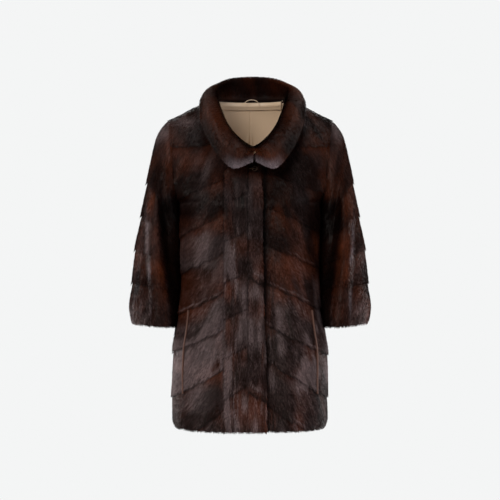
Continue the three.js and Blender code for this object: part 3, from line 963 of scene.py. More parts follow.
def tint(surface: Surface, a: Array, b: Array, growth: Growth, noise: Noise, loose: Array | float) -> Array:
    """Colours the fur at some places, with the sheen and shade painted on it.

    Args:
        surface: Where it grows.
        a: Shares across.
        b: Shares along.
        growth: How it lies, and the sheen and shade painted on it.
        noise: Smooth noise.
        loose: Fine differences from hair to hair, from -1 to 1.

    Returns:
        Linear colours, one for each place.
    """
    p = surface.read(surface.points, a, b)
    x, z = p[:, 0] + DEPTH_SHARE * p[:, 1], p[:, 2]
    tilt = np.radians(growth.lean)
    off, down = x * np.cos(tilt) + z * np.sin(tilt), x * np.sin(tilt) - z * np.cos(tilt)
    streak = 0.5 * noise.at(off, down, *SPOTS.streak) + 0.6 * loose
    patch = 0.7 * noise.at(x, z, *SPOTS.patch) + 0.5 * noise.at(off, down, *SPOTS.lock)
    # Streaks of painted sheen along the hair, and a painted highlight just above each pelt's lip
    glint = noise.at(off + GLINT_SHIFT, down, *SPOTS.glint)
    shine = 0.8 * noise.at(off, down, *SPOTS.shine) + 0.45 * glint
    rim = 0.45 * bell(growth.share, 0.085, 0.035) * smooth(*RIM_LEVELS, p[:, 2]) * smooth(-0.3, 0.4, patch)
    glossy = growth.glossy * (0.3 + 2.0 * smooth(-0.15, 0.6, shine) + 0.5 * streak) + rim
    shown = replace(growth, glossy=np.clip(glossy, 0.0, MOST_GLOSS))
    return FurLook().colours(shown, streak, patch)


@dataclass(frozen=True)
class Fold:
    """A soft trough in the cloth along a line."""

    start: tuple[float, float]
    end: tuple[float, float]
    half_width: float
    depth: float

    def sink(self, x: Array, z: Array) -> Array:
        """Returns how deep the trough is at points seen from the front.

        Args:
            x: Places across.
            z: Levels.

        Returns:
            Depths in millimetres.
        """
        run = np.array(self.end) - np.array(self.start)
        length = float(np.hypot(*run))
        dx, dz = x - self.start[0], z - self.start[1]
        along = (dx * run[0] + dz * run[1]) / length**2
        off = np.abs(dx * run[1] - dz * run[0]) / length
        ends = smooth(-0.25, 0.25, along) * (1.0 - smooth(0.75, 1.25, along))
        return self.depth * ends * bell(off, 0.0, self.half_width)


def lip_profile(share: Array) -> Array:
    """Returns how far the hair's tips stand out over a pelt, 0 at its upper end."""
    return 0.2 + SIZES.lip * (1.0 - share) ** 0.8


def grow(
    surface: Surface,
    places: tuple[Array, Array],
    growth: Growth,
    hair: HairSizes,
    rng: np.random.Generator,
    noise: Noise,
) -> Pile:
    """Grows the hair at some places.

    Args:
        surface: Where it grows.
        places: Shares across and along of the roots.
        growth: How the fur lies, stands and shines.
        hair: Sizes.
        rng: The random numbers.
        noise: Smooth noise.

    Returns:
        The pile.
    """
    a, b = places
    count = len(a)
    p = surface.read(surface.points, a, b)
    x, z = p[:, 0] + DEPTH_SHARE * p[:, 1], p[:, 2]
    angle = growth.lean + hair.wander * noise.at(x, z, *SPOTS.bend) + hair.stray * rng.normal(size=count)
    angle = np.radians(angle + hair.ripple * noise.at(x, z, *SPOTS.ripple))
    tuft = noise.at(x, z, *SPOTS.tuft)
    length = hair.length * (1.0 + 0.12 * tuft + 0.12 * rng.normal(size=count)).clip(0.4, 1.5)
    length = np.minimum(length, growth.to_edge + hair.overhang + 0.7 * rng.normal(size=count)).clip(1.5)
    tip = growth.reach + 0.3 * tuft + 0.3 * rng.normal(size=count)
    colour = tint(surface, a, b, growth, noise, rng.uniform(-1.0, 1.0, count))
    root = np.full(count, hair.root_depth)
    return Pile(
        a=a,
        b=b,
        lie_across=np.sin(angle),
        lie_along=growth.downwards * np.cos(angle),
        length=length,
        width=hair.width * rng.uniform(0.7, 1.3, count),
        root=root,
        middle=lerp(root, tip, hair.bend_at),
        tip=tip,
        twist=np.radians(hair.twist) * rng.normal(size=count),
        stray_x=rng.normal(size=count),
        stray_y=rng.normal(size=count),
        sparkle=hair.sparkle,
        colours=(colour * ROOT_SHADE, colour * MIDDLE_SHADE, np.clip(colour * TIP_SHADE, 0.0, 1.0)),
    )


def cover(
    shell: bpy.types.Object,
    hair: bpy.types.Object,
    nodes: tuple[str, ...],
    fur: "Wardrobe",
) -> None:
    """Args:
        shell: Its skin and lining.
        hair: Its hair.
        nodes: The solids that it stands for.
        fur: The materials.
    """
    dress(hair, fur.guard_hair)
    for obj in (shell, hair):
        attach(obj, "root")
    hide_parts(*nodes)


class Wardrobe:
    """The materials, each made once."""

    def __init__(self) -> None:
        """Builds the materials."""
        self.guard_hair = GUARD_HAIR.make()
        self.underfur = UNDERFUR.make()
        self.satin = SATIN.make()
        self.leather = PELT_LEATHER.make()
        self.wire = BRONZED_WIRE.make()


# The pieces of the coat

# Levels of the pelt seams at the side seam and at the centre, from the hem up
RIGHT_SEAMS = (
    (-832, -692), (-718, -602), (-608, -514), (-518, -427),
    (-420, -331), (-330, -243), (-238, -166), (-110, -109),
)
LEFT_SEAMS = (
    (-830, -694), (-718, -592), (-616, -512), (-506, -417),
    (-404, -331), (-316, -241), (-222, -164), (-110, -109),
)
BACK_SEAMS = (
    (-830, -700), (-718, -612), (-612, -522), (-510, -430),
    (-412, -338), (-318, -244), (-224, -150), (-110, -70),
)

# How much grey sheen is painted on each pelt, from the hem up
RIGHT_GLOSS = (0.45, 0.08, 0.5, 0.34, 0.14, 0.12, 0.06, 0.05, 0.03)
LEFT_GLOSS = (0.35, 0.32, 0.45, 0.4, 0.12, 0.05, 0.04, 0.04, 0.02)
BACK_GLOSS = (0.4, 0.2, 0.42, 0.3, 0.16, 0.18, 0.1, 0.08, 0.05)


# Troughs in the cloth that the eye sees
RIGHT_FOLDS = (
    Fold((-49.0, -187.0), (-28.0, -276.0), 24.0, 6.0),
    Fold((-66.0, -556.0), (-52.0, -504.0), 15.0, 4.0),
)
LEFT_FOLDS = (Fold((59.0, -480.0), (82.0, -551.0), 16.0, 4.0),)
BACK_FOLDS = (
    Fold((-60.0, -330.0), (-20.0, -420.0), 24.0, 4.5),
    Fold((52.0, -380.0), (28.0, -470.0), 22.0, 4.0),
    Fold((-96.0, -160.0), (-120.0, -250.0), 20.0, 4.0),
    Fold((92.0, -150.0), (118.0, -235.0), 20.0, 4.5),
)


@dataclass(frozen=True)
class PanelSizes:
    """One panel of the body: its edges round the body, pelt seams, folds and cut."""

    name: str
    face: Face
    start: float
    end: float
    seams: tuple[tuple[float, float], ...]
    cut: tuple[tuple[float, float], float]
    hairs: int
    gloss: tuple[float, ...]
    folds: tuple[Fold, ...] = ()
    slant: float = 0.0
    underlap: bool = False
    columns: int = 90
    rows: int = 220


class FurPiece:
    """A piece of the coat that has fur on its surface."""

    SKIN = -1.6
    SKIN_LIP = 0.6
    SKIN_FILL = 0.8
    INSIDE = 0.5
    EDGE_START = -2.0

    def __init__(self, seed: int) -> None:
        """Starts the piece's random numbers and its smooth noise."""
        self.rng = np.random.default_rng(seed)
        self.noise = Noise(seed)

    def run_length(self, a: Array, b: Array) -> Array:
        """Returns the surface's length from end to end, in millimetres, at shares across and along."""
        return np.linalg.norm(self.surface.read(self.surface.along, a, b), axis=-1)

    def growth(self, a: Array, b: Array) -> Growth:
        """Returns how the fur grows at roots at shares across and along."""
        raise NotImplementedError

    def paint(self, a: Array, b: Array) -> Array:
        """Returns the underfur's colours at shares across and along."""
        return tint(self.surface, a, b, self.growth(a, b), self.noise, 0.0) * ROOT_SHADE

    def hair(self, name: str, roots: tuple[Array, Array], sizes: HairSizes) -> bpy.types.Object:
        """Grows the piece's hair.

        Args:
            name: The object's name.
            roots: Shares across and along of the roots.
            sizes: Sizes of the hair.

        Returns:
            The object.
        """
        pile = grow(self.surface, roots, self.growth(*roots), sizes, self.rng, self.noise)
        return pile.build(name, self.surface)


class BodyPanel(FurPiece):
    """A front or the back: a thin skin with rows of pelts."""

    HEM_INSET = 0.008
    CORNER = 0.02
    EDGE_ROUND = 12.0
    SHELL_COLUMNS = 46
    SHELL_ROWS = 84
    LEAN = 24.0
    CLOSURE = 33.0
    UNDERLAP_TO = 101.0
    UNDERLAP_SINK = 11.8
    UNDERLAP_SHOWN = 14.0
    RIPPLE = 2.6
    FILL = 3.0
    NECK_ROWS = 5
    PLACKET_EVERY = 3
    PLACKET_JOIN = -5.0
    STRIP_JOIN = -60.0
    STRIP_SHIFT = 22.0
    JOIN_HALF = 3.0
    JOIN_TOP = -170.0
    SEAM_WAVE = 3.0
    BELOW_HEM = 30.0
    ABOVE_TOP = 25.0

    # Levels between which a shade or a thickness goes from nothing to its full strength
    CHEST = (-520.0, -230.0)
    YOKE = (-110.0, -160.0)
    SHOULDER_TOP = (-66.0, -52.0)
    STRIP_HEAD = (-175.0, -250.0)
    UNDER_ARM = (-240.0, -270.0)
    ABOVE_POCKET = (-640.0, -440.0)
    SLEEVE_FOOT = (-640.0, -560.0)
    SLEEVE_HEAD = (-60.0, -110.0)

    # Strengths of the painted sheen, the painted silver rim highlight and the shadow in those places
    CENTRE_GLOSS = 0.5
    SIDE_GLOSS = 1.2
    YOKE_GLOSS = 0.22
    SHOULDER_GLOSS = 0.2
    STRIP_GLOSS = 0.36
    PLACKET_GLOSS = 0.06
    EDGE_GLOSS = 0.3
    EDGE_SILVER_AND_SHEEN = 0.75
    CHEST_SHADE = 0.42
    JOIN_SHADE = 0.5
    UNDERLAP_SHADE = 0.6
    CLOSURE_LESS_SHEEN = 0.7

    def __init__(self, sizes: PanelSizes, seed: int) -> None:
        """Lays out the panel's surface."""
        super().__init__(seed)
        self.sizes = sizes
        self.form = BodyForm(sizes.face)
        a, b = grid_shares(sizes.columns, sizes.rows)
        around = self.around(a, b)
        points = self.form.point(around, self.height(b, around))
        plain = Surface(points, flip=sizes.face is Face.BACK)
        sink = self.sink(points)
        self.surface = Surface(points - plain.normals * sink[..., None], flip=sizes.face is Face.BACK)

    def height(self, b: Array, around: Array) -> Array:
        """Returns heights on the body for shares along the panel at places round the body."""
        inset = self.HEM_INSET + self.CORNER * smooth(0.7, 1.0, np.abs(around)) ** 2
        return inset + (2.0 - inset) * b

    def around(self, a: Array, b: Array) -> Array:
        """Returns places round the body for shares across and along."""
        s = self.sizes
        return lerp(s.start, s.end, a) + s.slant * np.clip(1.0 - 2.0 * b, 0.0, 1.0) * a**4

    def sink(self, p: Array) -> Array:
        """Returns how far the panel sinks below the body's plain form at points."""
        x, z = p[..., 0], p[..., 2]
        lean = math.radians(self.LEAN)
        side = np.sign(x)
        off = x * math.cos(lean) + side * z * math.sin(lean)
        down = side * x * math.sin(lean) - z * math.cos(lean)
        depth = self.RIPPLE * smooth(0.0, 60.0, np.abs(x)) * self.noise.at(off, down, 30.0, 105.0)
        for fold in self.sizes.folds:
            depth = depth + fold.sink(x, z)
        if self.sizes.underlap:
            depth = depth + self.UNDERLAP_SINK * (1.0 - smooth(self.CLOSURE, self.UNDERLAP_TO, x))
        return depth

    def pelts(self, a: Array, b: Array) -> tuple[Array, Array]:
        """Finds how far up its pelt each place is, and which pelt that is.

        Args:
            a: Shares across.
            b: Shares along.

        Returns:
            0 at the pelt's lip to 1 at its upper end, and the pelts' numbers from the hem up.
        """
        around = self.around(a, b)
        p = self.surface.read(self.surface.points, a, b)
        z = p[..., 2] + self.SEAM_WAVE * self.noise.at(p[..., 0], p[..., 2], 15.0, 400.0)
        front = self.sizes.face is Face.FRONT
        placket = front & (not self.sizes.underlap) & (p[..., 0] > self.PLACKET_JOIN)
        if front:
            z = z - self.STRIP_SHIFT * (p[..., 0] > self.STRIP_JOIN) * (p[..., 0] < self.PLACKET_JOIN)
        across = np.abs(self.form.across(around))
        low = self.form.hem(around) - self.BELOW_HEM
        high = self.form.top(around)[..., 2] + self.ABOVE_TOP
        number = np.zeros(z.shape, dtype=int)
        for count, (side, centre) in enumerate(self.sizes.seams):
            seam = lerp(centre, side, across)
            sewn = ~placket | (count % self.PLACKET_EVERY == 0)
            low = np.where(sewn & (seam <= z), np.maximum(low, seam), low)
            high = np.where(sewn & (seam > z), np.minimum(high, seam), high)
            number += seam <= z
        return np.clip((z - low) / np.maximum(high - low, 1.0), 0.0, 1.0), number

    def fill(self, a: Array, b: Array) -> Array:
        """Returns how much thicker the fur is beside the sleeve, in millimetres."""
        z = self.surface.read(self.surface.points, a, b)[..., 2]
        level = smooth(*self.SLEEVE_FOOT, z) * lerp(0.35, 1.0, smooth(*self.SLEEVE_HEAD, z))
        return self.FILL * level * smooth(0.86, 0.98, np.abs(self.around(a, b)))

    def build(self, fur: Wardrobe, more: tuple[bpy.types.Object, ...] = ()) -> None:
        """Makes the skin and the hair.

        Args:
            fur: The materials.
            more: Small pieces on the panel; not used.
        """
        s = self.sizes
        a, b = grid_shares(self.SHELL_COLUMNS, self.SHELL_ROWS)
        share, _ = self.pelts(a, b)
        turned_in = smooth(self.EDGE_START, self.EDGE_ROUND, b * self.run_length(a, b))
        pile_depth = lip_profile(share) * self.SKIN_LIP + self.fill(a, b) * self.SKIN_FILL
        outer = self.surface.at(a, b, self.SKIN + pile_depth * turned_in)
        inner = self.surface.at(a, b, np.full_like(a, self.INSIDE - SIZES.wall))
        skin = Shell(outer, inner, s.face is Face.BACK, fur_rows=self.NECK_ROWS)
        shell = skin.build(s.name + "_skin", (fur.underfur, fur.satin), self.paint)
        roots = self.surface.scatter(s.hairs, self.rng)
        if s.underlap:
            shown = self.surface.read(self.surface.points, *roots)[:, 0] > self.UNDERLAP_SHOWN
            roots = (roots[0][shown], roots[1][shown])
        hair = self.hair(s.name + "_hair", roots, HairSizes())
        cover(shell, hair, (s.name,), fur)

    def growth(self, a: Array, b: Array) -> Growth:
        """Returns how the panel's fur grows at roots at shares across and along."""
        share, number = self.pelts(a, b)
        around = self.around(a, b)
        p = self.surface.read(self.surface.points, a, b)
        x, z = p[:, 0], p[:, 2]
        side = np.abs(self.form.across(around))
        edge = np.abs(around)
        under_arm = smooth(*self.UNDER_ARM, z)
        # Painted sheen: grey by pelt, more towards the sides, by the armholes and on the shoulder tops
        pelt_gloss = np.array(self.sizes.gloss)[np.minimum(number, len(self.sizes.gloss) - 1)]
        towards_side = lerp(self.CENTRE_GLOSS, self.SIDE_GLOSS, smooth(0.05, 0.75, side))
        glossy = pelt_gloss * towards_side * smooth(1.05, 0.85, share)
        glossy = glossy + self.YOKE_GLOSS * bell(side, 0.66, 0.2) * smooth(*self.YOKE, z)
        glossy = glossy + self.SHOULDER_GLOSS * smooth(*self.SHOULDER_TOP, z) * smooth(0.5, 0.8, side)
        # Painted shade, darker towards the top of the chest
        shadow = self.CHEST_SHADE * smooth(*self.CHEST, z)
        if self.sizes.face is Face.FRONT:
            glossy, shadow = self.beside_closure(x, z, glossy, shadow)
        # A painted highlight and a lighter painted rim along the side edges below the arm
        glossy = glossy + self.EDGE_GLOSS * smooth(0.93, 0.99, edge) * under_arm
        silver_and_rim_sheen = self.EDGE_SILVER_AND_SHEEN * smooth(0.955, 0.985, edge) * under_arm * smooth(*self.ABOVE_POCKET, z)
        from_hem = b * self.run_length(a, b)
        depth = lip_profile(share) + self.fill(a, b)
        return Growth(
            share=share,
            lean=self.LEAN * np.sign(around) * smooth(0.02, 0.22, edge),
            downwards=-1.0,
            reach=depth * smooth(self.EDGE_START, self.EDGE_ROUND, from_hem),
            to_edge=from_hem,
            glossy=glossy,
            silver_and_rim_sheen=silver_and_rim_sheen,
            shadow=shadow * (1.0 - silver_and_rim_sheen),
        )

    def beside_closure(self, x: Array, z: Array, glossy: Array, shadow: Array) -> tuple[Array, Array]:
        """Changes a front's painted sheen and shadow at its placket, its upright joins and its closure.

        Args:
            x: Places across.
            z: Levels.
            glossy: The painted sheen so far.
            shadow: The shadow so far.

        Returns:
            The new painted sheen and shadow.
        """
        underlap = self.sizes.underlap
        strip = smooth(self.STRIP_JOIN - self.JOIN_HALF, self.STRIP_JOIN + self.JOIN_HALF, x)
        strip = strip * (x < self.CLOSURE) * (not underlap) * smooth(*self.STRIP_HEAD, z)
        # Painted sheen on the middle strip and the placket, less of it next to the closure
        glossy = lerp(glossy, self.STRIP_GLOSS + self.PLACKET_GLOSS * (x > self.PLACKET_JOIN), strip)
        glossy = glossy * (1.0 - self.CLOSURE_LESS_SHEEN * bell(x, self.CLOSURE - 1.0, 9.0))
        joins = bell(x, self.STRIP_JOIN, self.JOIN_HALF) + bell(x, self.PLACKET_JOIN, self.JOIN_HALF)
        # Painted shade on the left front where the right front laps over it
        under = self.UNDERLAP_SHADE * underlap * bell(x, self.CLOSURE + 1.0, 12.0)
        return glossy, shadow + self.JOIN_SHADE * joins * (z < self.JOIN_TOP) + under


@dataclass(frozen=True)
class SleeveSizes:
    """One sleeve."""

    name: str
    side: float
    cut: tuple[tuple[float, float], float] = ((0.42, 0.46), 0.158)
    hairs: int = 42000
    columns: int = 121
    rows: int = 150


class Sleeve(FurPiece):
    """A set-in sleeve of level pelts, each lapping the next."""

    SHELL_COLUMNS = 55
    SHELL_ROWS = 64
    END_INSET = 0.012
    FILL = 3.5
    EDGE_ROUND = 16.0
    FIRST_PELT = -0.6
    SEAM_WAVE = 0.05
    LEAN = -14.0

    # The lit ridge in front: places across of its outer rim and its inner edge, above and below
    RIM = (249.0, 240.0)
    INNER = (228.0, 200.0)
    RIM_LEVELS = (-220.0, -460.0)
    INNER_LEVELS = (-220.0, -520.0)
    RIDGE_HEAD = (-190.0, -230.0)
    HOLLOW_HEAD = (-210.0, -250.0)
    RIM_HEAD = (-200.0, -260.0)
    SILVER_HEAD = (-260.0, -330.0)
    SILVER_FOOT = (-535.0, -480.0)
    CUFF = (-440.0, -500.0)
    UPPER_ARM = (-330.0, -200.0)

    # Strengths of the painted sheen, the painted silver rim highlight and the shadow
    LEAST_GLOSS = 0.05
    CUFF_GLOSS = 0.32
    RIM_GLOSS = 0.3
    SHOULDER_GLOSS = 0.35
    RIM_PAINTED_SHEEN = 0.38
    HOLLOW_SHADE = 0.9
    UPPER_SHADE = 0.35
    RIDGE_SHARE = 0.85

    def __init__(self, sizes: SleeveSizes, seed: int) -> None:
        """Lays out the sleeve's surface."""
        super().__init__(seed)
        self.sizes = sizes
        a, b = grid_shares(sizes.columns, sizes.rows)
        points = sleeve_point(a * 2.0 * math.pi, self.ring(b)) * np.array([sizes.side, 1.0, 1.0])
        self.surface = Surface(points, flip=sizes.side > 0, wraps=True)

    def ring(self, b: Array) -> Array:
        """Returns ring numbers for shares along the sleeve."""
        return b * (len(SLEEVE_RINGS) - 1) * (1.0 - self.END_INSET)

    def pelt(self, a: Array, b: Array) -> Array:
        """Finds how far up its pelt each place is.

        Args:
            a: Shares round.
            b: Shares along.

        Returns:
            0 at the pelt's lip and 1 at its upper end.
        """
        ring = self.ring(b)
        wobble = self.SEAM_WAVE * self.noise.at(a * 400.0, ring, 16.0, 30.0)
        starts = (self.FIRST_PELT, *SLEEVE_SEAMS[:-1])
        share = np.ones_like(ring)
        for start, end in zip(starts, SLEEVE_SEAMS):
            here = (ring + wobble >= start) & (ring + wobble <= end)
            share = np.where(here, (end - ring - wobble) / (end - start), share)
        return np.clip(share, 0.0, 1.0)

    def fill(self, a: Array) -> Array:
        """Returns how much thicker the fur is next to the body, in millimetres."""
        return self.FILL * smooth(0.25, 0.08, (1.0 - np.cos(a * 2.0 * math.pi)) / 2.0)

    def build(self, fur: Wardrobe) -> None:
        """Makes the skin and the hair, with the materials fur."""
        s = self.sizes
        a, b = grid_shares(self.SHELL_COLUMNS, self.SHELL_ROWS)
        share = self.pelt(a, b)
        turned_in = smooth(self.EDGE_START, self.EDGE_ROUND, (1.0 - b) * self.run_length(a, b))
        pile_depth = lip_profile(share) * self.SKIN_LIP + self.fill(a) * self.SKIN_FILL
        outer = self.surface.at(a, b, self.SKIN + pile_depth * turned_in)
        inner = self.surface.at(a, b, np.full_like(a, self.INSIDE - SIZES.wall))
        outer[-1], inner[-1] = outer[0], inner[0]
        skin = Shell(outer, inner, s.side > 0, wraps=True)
        shell = skin.build(s.name + "_skin", (fur.underfur, fur.satin), self.paint)
        hair = self.hair(s.name + "_hair", self.surface.scatter(s.hairs, self.rng), HairSizes())
        cover(shell, hair, (s.name,), fur)

    def growth(self, a: Array, b: Array) -> Growth:
        """Returns how the sleeve's fur grows at roots at shares round and along."""
        share = self.pelt(a, b)
        p = self.surface.read(self.surface.points, a, b)
        x, z = np.abs(p[:, 0]), p[:, 2]
        front = smooth(5.0, -15.0, p[:, 1])
        rim = lerp(*self.RIM, smooth(*self.RIM_LEVELS, z))
        inner = lerp(*self.INNER, smooth(*self.INNER_LEVELS, z))
        ridge = front * smooth(rim, rim - 4.0, x) * smooth(inner - 4.0, inner + 4.0, x)
        ridge = ridge * smooth(*self.RIDGE_HEAD, z)
        # Painted shade in the hollow between the ridge and the body, and a darker upper arm
        shadow = self.HOLLOW_SHADE * front * smooth(inner, inner - 9.0, x) * smooth(*self.HOLLOW_HEAD, z)
        shadow = np.maximum(shadow, self.UPPER_SHADE * smooth(*self.UPPER_ARM, z) * (1.0 - ridge))
        # Painted sheen on the cuff, along the ridge's lit rim and on the shoulder
        cuff = self.CUFF_GLOSS * smooth(*self.CUFF, z) * (1.0 - 0.8 * ridge) * smooth(1.0, 0.8, share)
        on_rim = self.RIM_GLOSS * front * bell(x, rim, 7.0) * smooth(*self.RIM_HEAD, z)
        outside = smooth(0.2, 0.9, np.abs(np.cos(a * 2.0 * math.pi)))
        # A painted silver highlight in patches along the ridge's rim
        patchy = smooth(-0.3, 0.35, self.noise.at(z, x, 34.0, 60.0))
        silver_and_rim_sheen = self.RIM_PAINTED_SHEEN * patchy * front * bell(x, rim, 6.0)
        silver_and_rim_sheen = silver_and_rim_sheen * smooth(*self.SILVER_HEAD, z) * smooth(*self.SILVER_FOOT, z)
        from_cuff = (1.0 - b) * self.run_length(a, b)
        depth = lip_profile(share) + self.fill(a)
        return Growth(
            share=lerp(share, self.RIDGE_SHARE, 0.8 * ridge),
            lean=self.LEAN * np.sin(a * 2.0 * math.pi),
            downwards=1.0,
            reach=depth * smooth(self.EDGE_START, self.EDGE_ROUND, from_cuff),
            to_edge=from_cuff,
            glossy=self.LEAST_GLOSS + cuff + on_rim + self.SHOULDER_GLOSS * bell(z, -70.0, 45.0) * outside,
            silver_and_rim_sheen=silver_and_rim_sheen,
            shadow=shadow,
        )


class Collar(FurPiece):
    """The fold-over collar, with hair that lies from its roll to its edge."""

    CUT = ((0.62, 0.16), 0.078)
    COLUMNS = 160
    ROWS = 60
    SHELL_COLUMNS = 84
    SHELL_ROWS = 28
    EDGE_INSET = 0.035
    HAIRS = 38000
    HAIR = HairSizes(width=1.1, root_depth=-2.0)
    OUT = 0.3
    UNDER = 0.85
    LEAN = 26.0
    END_LEAN = 48.0
    REACH = 3.4
    ROLL_REACH = 0.9
    EDGE_REACH = -2.2
    STAND_EDGE = (-0.01, 0.09)
    # Silver tips with a painted rim sheen at the front leaves' edge; the collar darker all over, and darker
    # in blots along its edge at the back
    EDGE_SILVER_AND_SHEEN = 0.8
    SHADE = 0.3
    BACK_SHADE = 0.5

    def __init__(self, seed: int) -> None:
        """Lays out the collar's surface."""
        super().__init__(seed)
        self.form = CollarForm(CollarSizes())
        a, b = grid_shares(self.COLUMNS, self.ROWS)
        place = (a * 2.0 - 1.0) * self.form.last
        middle = Surface(self.form.point(place, b * (1.0 - self.EDGE_INSET)), flip=False)
        half = self.form.sizes.wall / 2.0
        self.surface = Surface(middle.points + middle.normals * (half * self.OUT), flip=False)
        self.under = middle.points - middle.normals * half * self.UNDER

    def build(self, fur: Wardrobe, more: tuple[bpy.types.Object, ...] = ()) -> None:
        """Makes the skin and the hair.

        Args:
            fur: The materials.
            more: Small pieces on the collar; not used.
        """
        a, b = grid_shares(self.SHELL_COLUMNS, self.SHELL_ROWS)
        outer = self.surface.at(a, b, np.zeros_like(a))
        inner = self.surface.read(self.under, a, b)
        shell = Shell(outer, inner, False).build("collar_skin", (fur.underfur,), self.paint)
        hair = self.hair("collar_hair", self.surface.scatter(self.HAIRS, self.rng), self.HAIR)
        cover(shell, hair, ("collar",), fur)

    def growth(self, a: Array, b: Array) -> Growth:
        """Returns how the collar's fur grows at roots at shares across and along."""
        place = a * 2.0 - 1.0
        leaf = smooth(0.76, 0.88, np.abs(place))
        blot = 0.5 + 0.5 * self.noise.at(place * 300.0, b * 100.0, 22.0, 30.0)
        at_end = np.sign(place) * smooth(0.9, 0.98, np.abs(place)) * smooth(0.9, 0.75, b)
        reach = self.REACH + self.ROLL_REACH * np.sin(np.pi * b) + self.EDGE_REACH * smooth(0.8, 1.0, b)
        return Growth(
            share=self.pelt(b),
            lean=self.LEAN * place + self.END_LEAN * at_end,
            downwards=1.0,
            reach=reach * smooth(*self.STAND_EDGE, b),
            to_edge=(1.0 - b) * self.run_length(a, b),
            glossy=np.zeros(len(a)),
            silver_and_rim_sheen=self.EDGE_SILVER_AND_SHEEN * smooth(0.8, 0.96, b) * leaf,
            shadow=self.SHADE + self.BACK_SHADE * smooth(0.7, 0.97, b) * (1.0 - leaf) * blot,
        )

    def pelt(self, b: Array) -> Array:
        """Returns how light the hair is: dark in the stand, where shade is painted, and warm past the roll.
        """
        return 0.02 + 0.9 * smooth(0.32, 0.6, b) * (1.0 - 0.5 * smooth(0.7, 1.0, b))


@dataclass(frozen=True)
class LiningSizes:
    """The lining inside the back of the neck, its facing, centre pleat and seam."""

    clear: float = 0.5
    wall: float = 1.2
    foot: float = -262.0
    across: float = 0.97
    facing_reach: float = 0.41
    facing_height: float = 14.0
    facing_thick: float = 1.5
    gap: float = 0.3
    pleat_top: float = -62.0
    pleat_open: float = -112.0
    pleat_width: float = 9.0
    pleat_depth: float = 8.0
    slit_top: float = 1.6
    slit_foot: float = 4.4
    slit_sink: float = 1.3
    ease: float = 0.7
    seam_width: float = 1.8
    seam_depth: float = 1.1
    crowding: float = 1.8
    facing_turn: float = 2.5
    facing_rise: float = 5.5


class Lining:
    """The back lining and the facing along its upper edge."""

    COLUMNS = 101
    ROWS = 70
    FACING_COLUMNS = 61
    FACING_ROWS = 15
    TOP = 1.999
    CUT = ((0.40, 0.29), 0.104)

    def __init__(self, sizes: LiningSizes, seed: int) -> None:
        """Lays out the back's surface over the lining."""
        self.sizes = sizes
        self.form = BodyForm(Face.BACK)
        self.noise = Noise(seed)

    def sheet(self, around: Array, low: Array, high: Array, rows: int) -> Surface:
        """Cuts a part of the back's surface.

        Args:
            around: Places round the body of its columns.
            low: Heights of its lower edge, one for each column.
            high: Heights of its upper edge, one for each column.
            rows: Points along.

        Returns:
            The surface.
        """
        a, b = np.meshgrid(around, np.linspace(0, 1, rows), indexing="ij")
        height = lerp(low[:, None], high[:, None], b)
        return Surface(self.form.point(a, height), flip=True)

    def height_at(self, around: Array, z: Array) -> Array:
        """Finds the heights at which places round the body reach levels.

        Args:
            around: Places round the body.
            z: Levels.

        Returns:
            Heights, 1 at the underarm and 2 at the upper edge.
        """
        top = self.form.top(around)[..., 2]
        up = 1.0 + np.arcsin(np.clip((z - SIZES.underarm) / (top - SIZES.underarm), 0.0, 1.0)) / QUARTER
        hem = self.form.hem(around)
        return np.where(z <= SIZES.underarm, (z - hem) / (SIZES.underarm - hem), up)

    def fold(self, p: Array) -> Array:
        """Returns how far the lining stands forward at points of the back."""
        s = self.sizes
        x = np.abs(p[..., 0])
        opened = 1.0 - smooth(s.pleat_open, s.pleat_top, p[..., 2])
        pleat = s.pleat_depth * opened * (1.0 - smooth(0.3, 1.0, x / s.pleat_width))
        mouth = lerp(s.slit_top, s.slit_foot, opened)
        slit = 1.0 - s.slit_sink * smooth(0.0, 0.3, opened) * (1.0 - smooth(mouth * 0.6, mouth, x))
        ease = s.ease * self.noise.at(p[..., 0], p[..., 2], 28.0, 90.0)
        seam = s.seam_depth * bell(x, 0.0, s.seam_width) * (1.0 - opened)
        return pleat * slit + ease * smooth(0.0, 30.0, x) - seam

    def build(self, fur: Wardrobe, loop: bpy.types.Object) -> None:
        """Makes the lining and its facing.

        Args:
            fur: The materials.
            loop: The hanger loop, sewn to the facing; not used.
        """
        s = self.sizes
        even = np.linspace(-1.0, 1.0, self.COLUMNS)
        around = np.sign(even) * np.abs(even) ** s.crowding * s.across
        low = self.height_at(around, np.full_like(around, s.foot))
        cloth = self.sheet(around, low, np.full_like(around, self.TOP), self.ROWS)
        fold = self.fold(cloth.points)
        skin = -SIZES.wall - s.clear
        outer = cloth.points + cloth.normals * (skin - fold)[..., None]
        inner = cloth.points + cloth.normals * (skin - s.wall - fold)[..., None]
        lining = Shell(outer, inner, True).build("lining_satin", (fur.satin,))
        reach = np.linspace(-s.facing_reach, s.facing_reach, self.FACING_COLUMNS)
        foot = self.height_at(reach, self.form.top(reach)[..., 2] - s.facing_height)
        band = self.sheet(reach, foot, np.full_like(reach, 2.0), self.FACING_ROWS)
        under = skin - s.wall - s.gap
        up = np.linspace(0.0, 1.0, self.FACING_ROWS)[None, :, None]
        turned_up = s.facing_turn * smooth(0.55, 1.0, up)
        raised = s.facing_rise * smooth(0.5, 1.0, up) * np.array([0.0, 0.0, 1.0])
        strip = [
            band.points + band.normals * (depth + turned_up) + raised
            for depth in (under, under - s.facing_thick)
        ]
        facing = Shell(strip[0], strip[1], True).build("neck_facing_satin", (fur.satin,))
        for obj, node in ((lining, "lining_back"), (facing, "neck_facing")):
            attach(obj, "root")
            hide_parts(node)


